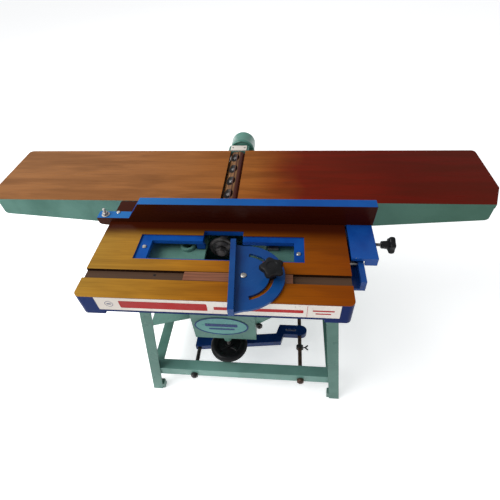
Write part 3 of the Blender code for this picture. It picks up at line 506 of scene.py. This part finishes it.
def add_thread(bm, start, end, radius, pitch, depth=0.0006, steps=18):
    """A threaded rod: its surface rises and falls along a helix."""
    length = (Vector(end) - Vector(start)).length
    matrix = aim(start, Vector(end) - Vector(start))
    rows = max(4, int(length / pitch * 4))
    rings = [[matrix @ Vector((0, 0, 0))]]
    for row in range(rows + 1):
        height = length * row / rows
        ring = []
        for i in range(steps):
            phase = (height / pitch + i / steps) % 1.0
            reach = radius - depth * (1.5 if row in (0, rows) else abs(2 * phase - 1))
            angle = 2 * pi * i / steps
            ring.append(matrix @ Vector((reach * cos(angle), reach * sin(angle), height)))
        rings.append(ring)
    rings.append([matrix @ Vector((0, 0, length))])
    add_rings(bm, rings)


def add_lobed(bm, centre, direction, rings, lobes=5, steps=80):
    """A lobed hand knob from (radius, lobe depth, height) rings."""
    matrix = aim(centre, direction)
    rows = []
    for radius, depth, height in rings:
        ring = []
        for i in range(steps if radius > 1e-7 else 1):
            angle = 2 * pi * i / steps
            reach = radius - depth * (0.5 - 0.5 * cos(lobes * angle)) ** 0.8
            ring.append(matrix @ Vector((reach * cos(angle), reach * sin(angle), height)))
        rows.append(ring)
    add_rings(bm, rows)


def piece(name, bm, look, body, stands_for=(), bevel=0.0):
    """A finished piece that rides on a body, takes a slot's finish and may stand for CAD nodes."""
    bmesh.ops.recalc_face_normals(bm, faces=bm.faces)
    mesh = bpy.data.meshes.new(name)
    bm.to_mesh(mesh)
    bm.free()
    mesh.transform(DATUM)
    mesh.shade_smooth()
    mesh.set_sharp_from_angle(angle=radians(38))
    mesh.materials.append(look)
    obj = bpy.data.objects.new(name, mesh)
    bpy.context.scene.collection.objects.link(obj)
    if bevel:
        edge = obj.modifiers.new("edge", "BEVEL")
        edge.width = bevel
        edge.segments = 2
        edge.limit_method = "ANGLE"
        edge.angle_limit = radians(38)
    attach(obj, body)
    if stands_for:
        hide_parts(*stands_for)
    return obj


def carve(obj, cutters):
    """Cut bmesh solids out of a piece; the faces that they leave take their own finish."""
    for bm, look in cutters:
        bmesh.ops.recalc_face_normals(bm, faces=bm.faces)
        mesh = bpy.data.meshes.new("cutter")
        bm.to_mesh(mesh)
        bm.free()
        mesh.transform(DATUM)
        mesh.materials.append(look)
        tool = bpy.data.objects.new("cutter", mesh)
        bpy.context.scene.collection.objects.link(tool)
        trim = obj.modifiers.new("carve", "BOOLEAN")
        trim.operation = "DIFFERENCE"
        trim.solver = "EXACT"
        trim.material_mode = "TRANSFER"
        trim.object = tool
        bpy.context.view_layer.update()
        evaluated = obj.evaluated_get(bpy.context.evaluated_depsgraph_get())
        result = bpy.data.meshes.new_from_object(evaluated)
        obj.modifiers.clear()
        obj.data = result
        bpy.data.objects.remove(tool)
    obj.data.shade_smooth()
    obj.data.set_sharp_from_angle(angle=radians(30))
    return obj


# ---- cutter head: scooped round each gib bolt ----
KNIFE_ANGLES = [radians(98 + 120 * i) for i in range(3)]
CUTTER_AXIS = (CUTTER_X, 0, CUTTER_Z)
BOLT_ROWS = [0.0505 + 0.0780 * i for i in range(4)]
BOLT_ACROSS = -0.0016


def head_frame(angle):
    """Local X across the head's groove, Y along the head, Z outwards."""
    return Matrix.Translation(CUTTER_AXIS) @ Matrix.Rotation(pi / 2 - angle, 4, "Y")


def add_scoops(bm, matrix):
    """The hollows round the gib bolts, as ellipsoids to cut away."""
    reach = Matrix.Diagonal((0.0190, 0.0285, 0.0130, 1))
    for y in BOLT_ROWS:
        seat = matrix @ Matrix.Translation((BOLT_ACROSS - 0.0020, y, 0.0378)) @ reach
        bmesh.ops.create_icosphere(bm, subdivisions=4, radius=1.0, matrix=seat)


bm = bmesh.new()
add_lathe(bm, [(0, -0.2095), (0.0117, -0.2095), (0.0125, -0.2085), (0.0125, 0.0015), (0.0345, 0.0015),
               (0.0355, 0.0025), (0.0355, 0.3275), (0.0345, 0.3285), (0.0125, 0.3285), (0.0125, 0.446),
               (0.0115, 0.447), (0, 0.447)], CUTTER_AXIS, (0, 1, 0), 96)
cutter_body = piece("cutter_body", bm, head_steel, "cutter", ["cutter_head"])
cuts = []
for angle in KNIFE_ANGLES:
    bm = bmesh.new()
    add_slab(bm, (-0.008, 0.008), (-0.005, 0.335), (0.0195, 0.042), head_frame(angle))
    cuts.append((bm, oily_steel_and_shade))
    bm = bmesh.new()
    add_scoops(bm, head_frame(angle))
    cuts.append((bm, oily_steel_and_shade))
carve(cutter_body, cuts)
for number, angle in enumerate(KNIFE_ANGLES, 1):
    bm = bmesh.new()
    add_slab(bm, (-0.0077, 0.0046), (0.004, 0.326), (0.0200, 0.0335), head_frame(angle))
    gib = piece(f"gib_bar_{number}", bm, head_steel, "cutter", [f"gib_{number}"])
    bm = bmesh.new()
    add_scoops(bm, head_frame(angle))
    carve(gib, [(bm, oily_steel_and_shade)])
    bm = bmesh.new()
    out = (head_frame(angle) @ Vector((0, 0, 1))) - Vector(CUTTER_AXIS)
    for y in BOLT_ROWS:
        seat = head_frame(angle) @ Vector((BOLT_ACROSS, y, 0.0225))
        add_hexagon(bm, seat, out, 0.0096, 0.0100)
        add_lathe(bm, [(0, 0.0090), (0.0050, 0.0090), (0.0050, 0.0108), (0.0042, 0.0115), (0, 0.0115)],
                  seat, out, 24)
    piece(f"gib_bolts_{number}", bm, worn_steel, "cutter")

# ---- arbor ----
bm = bmesh.new()
add_lathe(bm, [(0.0128, -0.150), (0.0170, -0.150), (0.018, -0.151), (0.018, -0.177), (0.0195, -0.178),
               (0.0388, -0.178), (0.0400, -0.1792), (0.0400, -0.1848), (0.0388, -0.186),
               (0.0128, -0.186)], CUTTER_AXIS, (0, 1, 0), 80, closed=True)
piece("arbor_collar", bm, black_steel, "cutter", ["inner_flange"])
bm = bmesh.new()
add_lathe(bm, [(0.0128, -0.1863), (0.0292, -0.1863), (0.0300, -0.1870), (0.0300, -0.1885),
               (0.0285, -0.1895), (0.0220, -0.1938), (0.0205, -0.1945), (0.0128, -0.1945)],
          CUTTER_AXIS, (0, 1, 0), 72, closed=True)
piece("arbor_washer", bm, black_steel, "cutter", ["outer_flange"])
bm = bmesh.new()
add_hexagon(bm, (CUTTER_X, -0.2065, CUTTER_Z), (0, 1, 0), 0.018, 0.0117, bore=0.0128)
piece("arbor_hex", bm, black_steel, "cutter", ["arbor_nut"])

# ---- round belt cover ----
GUARD_AXIS = (CUTTER_X + 0.009, 0, CUTTER_Z + 0.002)
DOME_CORNER = 0.022
dome = []
for degrees in range(90, -1, -6):
    angle = radians(degrees)
    dome.append((0.0505 - DOME_CORNER * (1 - cos(angle)), 0.4498 + DOME_CORNER * sin(angle)))
bead = [(0.0498, 0.3960), (0.0508, 0.3935), (0.0515, 0.3900), (0.0513, 0.3860), (0.0500, 0.3825),
        (0.0480, 0.3805), (0.0462, 0.3808), (0.0450, 0.3825), (0.0443, 0.3850)]
dish = [(0.0425, 0.3850), (0.0380, 0.3838), (0.0330, 0.3828), (0.0245, 0.3822)]
bm = bmesh.new()
add_lathe(bm, [(0, 0.4718)] + dome + bead + dish + [
    (0.0245, 0.3850), (0.0330, 0.3856), (0.0450, 0.3960), (0.0475, 0.4000), (0.0475, 0.452),
    (0.0330, 0.4680), (0, 0.4680)], GUARD_AXIS, (0, 1, 0), 96)
cover = piece("belt_cover", bm, glossy_green, "stand", ["pulley_guard"])
bm = bmesh.new()
add_slab(bm, (CUTTER_X - 0.046, CUTTER_X + 0.046), (0.402, 0.438), (CUTTER_Z - 0.080, CUTTER_Z - 0.012))
carve(cover, [(bm, green_edge)])

# ---- belt drive ----
MOTOR_Z = -0.498
BELT_Y = 0.420
SHEAVE_HALF = 0.0150


def sheave_rim(radius):
    """Rim with its belt groove, from the rear face to the front one."""
    groove = radius - 0.0097
    half = [(groove, 0.0066), (radius, 0.0078), (radius, 0.0140), (radius - 0.001, SHEAVE_HALF)]
    return half[::-1] + [(r, -y) for r, y in half]


bm = bmesh.new()
BORE = 0.0128
add_lathe(bm, sheave_rim(0.035) + [(BORE, -SHEAVE_HALF), (BORE, SHEAVE_HALF)],
          (CUTTER_X, BELT_Y, CUTTER_Z), (0, 1, 0), 64, closed=True)
piece("cutter_sheave", bm, black_steel, "cutter", ["cutter_pulley"])
bm = bmesh.new()
shaft_end = [(0, 0.018), (0.0088, 0.018), (0.0095, 0.017), (0.0095, SHEAVE_HALF)]
shaft = [(0.0095, -SHEAVE_HALF), (0.0095, -0.0675), (0, -0.0675)]
add_lathe(bm, shaft_end + sheave_rim(0.0605) + shaft, (CUTTER_X, BELT_Y, MOTOR_Z), (0, 1, 0), 64)
piece("motor_sheave", bm, black_steel, "motor_rotor", ["motor_pulley"])

# ---- motor with cooling fins ----
MOTOR_AXIS = (CUTTER_X, 0, MOTOR_Z)
FIN_COUNT = 36
FIN_ROOT = 0.0640
FIN_TIP = 0.0695
bm = bmesh.new()
fins = []
for i in range(FIN_COUNT):
    for part_turn, radius in ((0.0, FIN_ROOT), (0.42, FIN_ROOT), (0.50, FIN_TIP), (0.78, FIN_TIP),
                              (0.86, FIN_ROOT)):
        angle = 2 * pi * (i + part_turn) / FIN_COUNT
        fins.append((CUTTER_X + radius * cos(angle), MOTOR_Z + radius * sin(angle)))
add_prism(bm, fins, 0.120, 0.285, "XZ")
for low, high, flip in ((0.285, 0.330, 1), (0.120, 0.090, -1)):
    add_lathe(bm, [(0, low - flip * 0.001), (0.0690, low - flip * 0.001), (0.0695, low + flip * 0.002),
                   (0.0680, high - flip * 0.010), (0.0600, high), (0, high)], MOTOR_AXIS, (0, 1, 0), 64)
add_lathe(bm, [(0, 0.325), (0.0300, 0.325), (0.0300, 0.3500), (0.0280, 0.352), (0, 0.352)],
          MOTOR_AXIS, (0, 1, 0), 40)
add_slab(bm, (CUTTER_X - 0.075, CUTTER_X + 0.075), (0.130, 0.290), (-0.5784, -0.5700))
foot = [(0.070, -0.5705), (0.035, -0.5705), (0.028, -0.548), (0.050, -0.540)]
for side in (-1, 1):
    for y in (0.145, 0.275):
        add_prism(bm, [(CUTTER_X + side * x, z) for x, z in foot], y - 0.006, y + 0.006, "XZ")
        add_hexagon(bm, (CUTTER_X + side * 0.0655, y, -0.5702), (0, 0, 1), 0.0070, 0.005)
add_slab(bm, (CUTTER_X + 0.058, CUTTER_X + 0.094), (0.162, 0.248), (-0.528, -0.472))
add_slab(bm, (CUTTER_X + 0.0935, CUTTER_X + 0.0978), (0.160, 0.250), (-0.530, -0.470))
piece("finned_motor", bm, green, "stand", ["motor"], bevel=0.0008)

# ---- hand knobs ----
CLAMP = (0.4135, -0.165, -0.028)


def knob_rings(radius, low, high, hub, hub_radius):
    """Rings of a lobed knob between two heights, with a round hub below it."""
    lobe = radius * 0.24
    middle = (low + high) / 2
    return [(0, 0, hub), (hub_radius - 0.001, 0, hub), (hub_radius, 0, hub + 0.001),
            (hub_radius * 1.12, 0, low - 0.001), (radius * 0.70, lobe * 0.5, low),
            (radius * 0.92, lobe * 0.95, low + 0.0020),
            (radius, lobe, low + 0.0055), (radius, lobe, middle), (radius * 0.985, lobe, high - 0.0050),
            (radius * 0.92, lobe * 0.95, high - 0.0018), (radius * 0.80, lobe * 0.75, high - 0.0003),
            (radius * 0.45, lobe * 0.15, high), (radius * 0.40, 0, high - 0.0012), (0, 0, high - 0.0014)]


bm = bmesh.new()
add_lobed(bm, CLAMP, (1, 0, 0), knob_rings(0.027, 0.0830, 0.1020, 0.0623, 0.0115))
piece("clamp_knob", bm, black, "fence_clamp", ["fence_knob"])
bm = bmesh.new()
add_thread(bm, CLAMP, (CLAMP[0] + 0.0620, CLAMP[1], CLAMP[2]), 0.0050, 0.0016, 0.0005)
piece("clamp_thread", bm, worn_steel, "fence_clamp", ["clamp_screw"])
PIVOT = (0.075, SLOT_Y)
KNOB_AT = (PIVOT[0] + 0.078, PIVOT[1])
bm = bmesh.new()
add_lobed(bm, (*KNOB_AT, 0), (0, 0, 1), knob_rings(0.035, 0.034, 0.054, 0.0092, 0.0125))
knob = piece("lock_knob", bm, black, "gauge_lock", ["gauge_knob"])
bm = bmesh.new()
add_rod(bm, (*KNOB_AT, 0), (*KNOB_AT, 0.0304), 0.0047, 24, 0.0001)
carve(knob, [(bm, black)])
bm = bmesh.new()
add_thread(bm, (*KNOB_AT, -0.0002), (*KNOB_AT, 0.0300), 0.0042, 0.0014, 0.0004)
piece("lock_stud", bm, worn_steel, "gauge_slide", ["gauge_stud"])
bm = bmesh.new()
add_lathe(bm, [(0, -0.0002), (0.0050, -0.0002), (0.0050, 0.0090), (0.0086, 0.0090), (0.0090, 0.0095),
               (0.0088, 0.0108), (0.0070, 0.0123), (0.0030, 0.0125), (0.0026, 0.0112), (0, 0.0112)],
          (*PIVOT, 0), (0, 0, 1), 40)
piece("pivot_cap_screw", bm, steel, "gauge_slide", ["pivot_screw"])


# ---- handwheels and lift screws ----
def add_wheel(bm, centre, direction, radius, rim, bore, spokes=3):
    """A rimmed wheel: round rim, tapered spokes and a bored hub."""
    inner = radius - rim
    add_lathe(bm, [(inner + rim * cos(2 * pi * i / 20), rim * sin(2 * pi * i / 20)) for i in range(20)],
              centre, direction, 72, closed=True)
    add_lathe(bm, [(bore, 0.014), (0.0138, 0.014), (0.015, 0.0128), (0.016, 0), (0.015, -0.0128),
                   (0.0138, -0.014), (bore, -0.014)], centre, direction, 40, closed=True)
    matrix = aim(centre, direction)
    width, waist = (0.0125, 0.0030) if rim > 0.01 else (0.0060, 0.0015)
    for i in range(spokes):
        turn = matrix @ Matrix.Rotation(2 * pi * i / spokes + radians(30), 4, "Z")
        rings = []
        for step in range(7):
            share = step / 6
            along = 0.013 + (inner - rim * 0.55 - 0.013) * share
            wide = width - waist * sin(pi * share)
            thick = 0.0062 - 0.0012 * sin(pi * share)
            angles = [2 * pi * k / 12 for k in range(12)]
            rings.append([turn @ Vector((along, wide * cos(a), thick * sin(a))) for a in angles])
        tip = [[turn @ Vector((0.012, 0, 0))], [turn @ Vector((inner - rim * 0.5, 0, 0))]]
        add_rings(bm, [tip[0]] + rings + [tip[1]])


SAW_LIFT = (-0.028, -0.232)
SAW_WHEEL = (*SAW_LIFT, -0.5525)
bm = bmesh.new()
add_wheel(bm, SAW_WHEEL, (0, 0, 1), 0.0745, 0.0155, 0.0082)
web = [(0.0120, 0.0025), (0.0560, 0.0025), (0.0560, -0.0025), (0.0120, -0.0025)]
add_lathe(bm, web, SAW_WHEEL, (0, 0, 1), 56, closed=True)
piece("lift_wheel", bm, black, "saw_lift", ["elevating_handwheel"])
bm = bmesh.new()
add_thread(bm, (*SAW_LIFT, -0.5757), (*SAW_LIFT, -0.330), 0.0078, 0.004, 0.0010, 20)
piece("lift_thread", bm, worn_steel, "saw_lift", ["elevating_screw"])
WAY_ANGLE = radians(12)
for side, label, x in ((1, "infeed", 0.3220), (-1, "outfeed", -0.2540)):
    start = Vector((x, 0.165, -0.1335))
    travel = Vector((side * cos(WAY_ANGLE), 0, -sin(WAY_ANGLE)))
    bm = bmesh.new()
    add_thread(bm, start, start + travel * 0.150, 0.0062, 0.003, 0.0007, 18)
    piece(label + "_lift_thread", bm, worn_steel, label + "_lift", [label + "_screw"])
    bm = bmesh.new()
    add_wheel(bm, start + travel * 0.128, travel, 0.046, 0.008, 0.0066)
    piece(label + "_lift_wheel", bm, black, label + "_lift", [label + "_handwheel"])

# ---- guide rods, collar and wing screw ----
ROD_Z = -0.617
RIGHT_ROD_X = 0.2605
for label, x, look in (("left", -0.162, black_steel), ("right", RIGHT_ROD_X, brown_steel)):
    bm = bmesh.new()
    add_rod(bm, (x, -0.3490, ROD_Z), (x, -0.0003, ROD_Z), 0.008, 40, 0.0012)
    add_hexagon(bm, (x, -0.3445, ROD_Z), (0, 1, 0), 0.0150, 0.0122)
    piece(f"arm_rod_{label}", bm, look, "stand", [f"guide_rod_{label}"])
COLLAR_MIDDLE = (RIGHT_ROD_X, -0.193, ROD_Z)
bm = bmesh.new()
add_lathe(bm, [(0.0086, 0.008), (0.0140, 0.008), (0.0150, 0.007), (0.0150, -0.007), (0.0140, -0.008),
               (0.0086, -0.008)], COLLAR_MIDDLE, (0, 1, 0), 48, closed=True)
piece("rod_collar", bm, black_steel, "collar", ["stop_collar"])
WING = (RIGHT_ROD_X + 0.0155, -0.193, ROD_Z)
bm = bmesh.new()
add_thread(bm, WING, (WING[0] + 0.010, WING[1], WING[2]), 0.0030, 0.0012, 0.0003, 16)
wing_turn = aim(WING, (1, 0, 0))
half_wing = [(-0.0040, 0.0065), (-0.0075, 0.0105), (-0.0112, 0.0150), (-0.0120, 0.0182),
             (-0.0105, 0.0198), (-0.0075, 0.0196), (-0.0045, 0.0165), (-0.0020, 0.0128)]
wing_loop = half_wing + [(-u, v) for u, v in reversed(half_wing)]
add_prism(bm, wing_loop, -0.0014, 0.0014, "XZ", wing_turn)
piece("wing", bm, black_steel, "collar_screw", ["wing_screw"], bevel=0.0005)

# ---- fence stud, nut, washer and bolt ----
STUD = (-0.404, -0.094, 0.0148)
bm = bmesh.new()
add_lathe(bm, [(0, 0), (0.0125, 0), (0.0130, 0.0004), (0.0130, 0.0017), (0.0125, 0.0020), (0, 0.0020)],
          STUD, (0, 0, 1), 48)
add_hexagon(bm, (*STUD[:2], STUD[2] + 0.002), (0, 0, 1), 0.0092, 0.0085)
add_thread(bm, (*STUD[:2], STUD[2] + 0.0100), (*STUD[:2], STUD[2] + 0.0245), 0.0045, 0.0014, 0.0004)
piece("stud_nut", bm, steel, "fence_group", ["fence_stud"])
bm = bmesh.new()
add_lathe(bm, [(0, 0.0146), (0.0064, 0.0146), (0.0066, 0.0160), (0.0050, 0.0176), (0, 0.0180)],
          (-0.365, -0.082, 0), (0, 0, 1), 32)
piece("fence_bolt", bm, steel, "fence_group")

# ---- saw table's bolts, slot screw and rail spacer ----
bm = bmesh.new()
for x, y in ((-0.242, -0.218), (0.227, -0.234)):
    add_lathe(bm, [(0, -0.0058), (0.0068, -0.0058), (0.0070, -0.0040), (0.0054, -0.0022),
                   (0.0020, -0.0018), (0, -0.0018)], (x, y, 0), (0, 0, 1), 32)
piece("ledge_bolts", bm, steel, "saw_carriage")
bm = bmesh.new()
add_lathe(bm, [(0, -0.0102), (0.0046, -0.0102), (0.0048, -0.0099), (0.0040, -0.0097), (0.0022, -0.0100),
               (0, -0.0100)], (-0.182, -0.326, 0), (0, 0, 1), 28)
piece("slot_screw", bm, oily_steel_and_shade, "saw_carriage")

bm = bmesh.new()
add_rod(bm, (0.3695, -0.236, -0.038), (0.3967, -0.236, -0.038), 0.0072, 32, 0.0006)
piece("rail_spacer", bm, steel, "saw_carriage")

# ---- inside the blade opening ----
BOSS = (-0.121, -0.171)
bm = bmesh.new()
add_lathe(bm, [(0.0145, -0.0457), (0.0250, -0.0457), (0.0250, -0.0400), (0.0240, -0.0384),
               (0.0225, -0.0380), (0.0165, -0.0380), (0.0150, -0.0388), (0.0145, -0.0402)],
          (*BOSS, 0), (0, 0, 1), 56, closed=True)
piece("boss_ring", bm, green, "saw_carriage")
bm = bmesh.new()
add_slab(bm, (0.134, 0.168), (-0.182, -0.150), (-0.0498, -0.0400))
piece("grey_block", bm, worn_steel, "saw_carriage", bevel=0.0012)
bm = bmesh.new()
add_slab(bm, (-0.090, -0.064), (-0.182, -0.176), (-0.0498, -0.0180))
add_slab(bm, (-0.090, -0.064), (-0.182, -0.160), (-0.0498, -0.0450))
piece("blue_tab", bm, blue, "saw_carriage", bevel=0.0010)

# ---- bolt on the knee's front ----
KNEE_BOLT = (0.102, -0.2498, -0.366)
bm = bmesh.new()
add_lathe(bm, [(0, 0), (0.0105, 0), (0.0115, 0.0012), (0.0115, 0.0090), (0.0100, 0.0104), (0, 0.0104)],
          KNEE_BOLT, (0, -1, 0), 32)
add_lathe(bm, [(0, 0.010), (0.0050, 0.010), (0.0050, 0.0150), (0.0042, 0.0158), (0, 0.0158)],
          KNEE_BOLT, (0, -1, 0), 24)
piece("knee_lock_bolt", bm, black_steel, "saw_carriage")

# ---- front strip with plain bars and a ring in place of its lettering ----
bm = bmesh.new()
add_slab(bm, (-0.328, 0.334), (SAW_FRONT - 0.0013, SAW_FRONT - 0.0003), (-0.0575, -0.0030))
piece("front_strip", bm, cream, "saw_carriage", ["label_strip"], bevel=0.0003)


def rounded_bar(x, z, corner, steps=6):
    """Outline of a bar with rounded corners."""
    left, right = x[0] + corner, x[1] - corner
    bottom, top = z[0] + corner, z[1] - corner
    points = []
    for cx, cz, turn in ((right, bottom, 270), (right, top, 0), (left, top, 90), (left, bottom, 180)):
        for i in range(steps + 1):
            angle = radians(turn + 90 * i / steps)
            points.append((cx + corner * cos(angle), cz + corner * sin(angle)))
    return points


STRIP_Y = (SAW_FRONT - 0.0015, SAW_FRONT - 0.0010)
STRIP_BARS = (
    ((-0.262, -0.018), (-0.0455, -0.0145), 0.0040), ((0.000, 0.238), (-0.0390, -0.0255), 0.0020),
    ((0.262, 0.318), (-0.0300, -0.0240), 0.0010), ((0.270, 0.310), (-0.0420, -0.0370), 0.0010),
    ((0.2475, 0.2485), (-0.0550, -0.0070), 0.0004),
)
bm = bmesh.new()
for x, z, corner in STRIP_BARS:
    add_prism(bm, rounded_bar(x, z, corner), *STRIP_Y, "XZ")
piece("strip_bars", bm, bar_red, "saw_carriage")
bm = bmesh.new()
add_lathe(bm, [(0.0105, 0), (0.0118, 0), (0.0118, 0.0005), (0.0105, 0.0005)],
          (-0.292, STRIP_Y[1], -0.030), (0, -1, 0), 48, closed=True)
add_prism(bm, rounded_bar((-0.2985, -0.2855), (-0.0320, -0.0280), 0.0015), *STRIP_Y, "XZ")
piece("strip_ring", bm, navy, "saw_carriage")

# ---- oval badge: raised rim and plain bars ----
BADGE = (-0.038, -0.376)
BADGE_Y = -0.2563


def oval(width, height, count=96):
    return [(BADGE[0] + width * cos(2 * pi * i / count), BADGE[1] + height * sin(2 * pi * i / count))
            for i in range(count)]


bm = bmesh.new()
add_prism(bm, oval(0.1000, 0.0560), BADGE_Y - 0.0012, BADGE_Y, "XZ")
piece("badge_field", bm, badge_green, "saw_carriage", ["badge_plate"], bevel=0.0004)
bm = bmesh.new()
rim = []
for inset, out in ((0, 0.0010), (0, 0.0019), (0.0010, 0.0022), (0.0040, 0.0022), (0.0050, 0.0019),
                   (0.0050, 0.0010)):
    rim.append([Vector((u, BADGE_Y - out, v)) for u, v in oval(0.0998 - inset, 0.0558 - inset)])
add_rings(bm, rim, closed=True)
piece("badge_rim", bm, navy, "saw_carriage")
bm = bmesh.new()
for x, z in (((-0.098, 0.022), (-0.378, -0.360)), ((-0.086, 0.010), (-0.398, -0.389))):
    add_prism(bm, rounded_bar(x, z, 0.0035), BADGE_Y - 0.0019, BADGE_Y - 0.0010, "XZ")
piece("badge_bars", bm, navy, "saw_carriage", bevel=0.0003)


# ---- weld beads where the stand's beams meet its legs ----
def add_bead(bm, start, end, radius, waves):
    """A lumpy weld bead between two points."""
    start, end = Vector(start), Vector(end)
    matrix = aim(start, end - start)
    length = (end - start).length
    rings = [[matrix @ Vector((0, 0, 0))]]
    rows = waves * 6
    for row in range(rows + 1):
        taper = min(1, 0.4 + 6 * row / rows, 0.4 + 6 * (rows - row) / rows)
        swell = radius * (0.78 + 0.22 * abs(sin(pi * waves * row / rows))) * taper
        wander = radius * 0.25 * sin(2.3 * row)
        height = length * row / rows
        ring = []
        for angle in (2 * pi * i / 10 for i in range(10)):
            ring.append(matrix @ Vector((swell * cos(angle) + wander, swell * sin(angle), height)))
        rings.append(ring)
    rings.append([matrix @ Vector((0, 0, length))])
    add_rings(bm, rings)


bm = bmesh.new()
for x in (-0.3325, 0.3995):
    add_bead(bm, (x, -0.3325, -0.630), (x, -0.3325, -0.589), 0.0030, 9)
    add_bead(bm, (x, -0.3300, -0.5855), (x, -0.2960, -0.5855), 0.0028, 7)
    add_bead(bm, (x, 0.4070, -0.630), (x, 0.4070, -0.589), 0.0030, 9)
# The beads take the lighter enamel that paints light onto the front beam.
piece("weld_beads", bm, green_painted_light, "stand")

# ---- bolts on the body, motor plate and rear cap ----
bm = bmesh.new()
for x in (-0.272, 0.341):
    for y in (0.010, 0.290):
        add_hexagon(bm, (x, y, -0.1650), (0, 0, 1), 0.0095, 0.0060)
for x in (CUTTER_X - 0.075, CUTTER_X + 0.075):
    for y in (0.020, 0.360):
        add_hexagon(bm, (x, y, -0.5787), (0, 0, 1), 0.0080, 0.0050)
piece("body_bolts", bm, worn_steel, "stand")
bm = bmesh.new()
for x in (CUTTER_X - 0.024, CUTTER_X + 0.024):
    add_lathe(bm, [(0, -0.0014), (0.0036, -0.0014), (0.0040, -0.0010), (0.0034, -0.0002), (0, 0)],
              (x, 0.3545, 0), (0, 0, 1), 24)
piece("cap_screws", bm, steel, "stand")

# ---- stage ----
bm = bmesh.new()
bmesh.ops.create_grid(bm, x_segments=8, y_segments=8, size=30)
floor_mesh = bpy.data.meshes.new("floor")
bm.to_mesh(floor_mesh)
bm.free()
floor = bpy.data.objects.new("floor", floor_mesh)
bpy.context.scene.collection.objects.link(floor)
floor_look = Finish("floor_paint", roughness=0.9, emission_color=(1, 1, 1, 1), emission_strength=0.52)
tone = floor_look.mix(floor_look.noise(0.8, 3.0), (0.90, 0.90, 0.90), (0.87, 0.87, 0.875))
floor_mesh.materials.append(floor_look.set(base_color=tone).material)

world = bpy.data.worlds.new("studio")
world.use_nodes = True
sky = world.node_tree.nodes["Background"]
sky.inputs["Color"].default_value = (0.96, 0.98, 1.0, 1)
sky.inputs["Strength"].default_value = 0.47
bpy.context.scene.world = world


def area_light(name, position, target, size, power, colour=(1, 1, 1)):
    """A square soft light aimed at a point."""
    data = bpy.data.lights.new(name, "AREA")
    data.shape = "RECTANGLE"
    data.size, data.size_y = size
    data.energy = power
    data.color = colour
    lamp = bpy.data.objects.new(name, data)
    bpy.context.scene.collection.objects.link(lamp)
    lamp.location = position
    lamp.rotation_euler = (Vector(target) - Vector(position)).to_track_quat("-Z", "Y").to_euler()
    return lamp


area_light("key", (-2.5, -0.9, 3.6), (0, 0, 0.6), (3.0, 3.0), 152)
area_light("window", (-3.2, 2.6, 3.2), (-0.3, 0.1, 0.7), (4.0, 3.0), 30, (0.95, 0.98, 1.0))
area_light("front", (-1.6, -3.4, 1.3), (0, 0, 0.5), (2.4, 1.8), 5)

# ---- camera ----
CAMERA_AT = place(0.1813, -0.9655, 0.7649)
CAMERA_RIGHT = Vector((0.99556, 0.08006, -0.04935))
CAMERA_DOWN = Vector((0.02322, -0.71772, -0.69594))
CAMERA_AHEAD = Vector((-0.09114, 0.69171, -0.71640))
camera_data = bpy.data.cameras.new("camera")
camera_data.lens = 26.01
camera_data.sensor_width = 36.0
camera_data.clip_end = 100
camera = bpy.data.objects.new("camera", camera_data)
bpy.context.scene.collection.objects.link(camera)
axes = Matrix((CAMERA_RIGHT, -CAMERA_DOWN, -CAMERA_AHEAD)).transposed()
camera.matrix_world = Matrix.Translation(CAMERA_AT) @ axes.to_4x4()
bpy.context.scene.camera = camera
bpy.context.scene.view_settings.view_transform = "Standard"
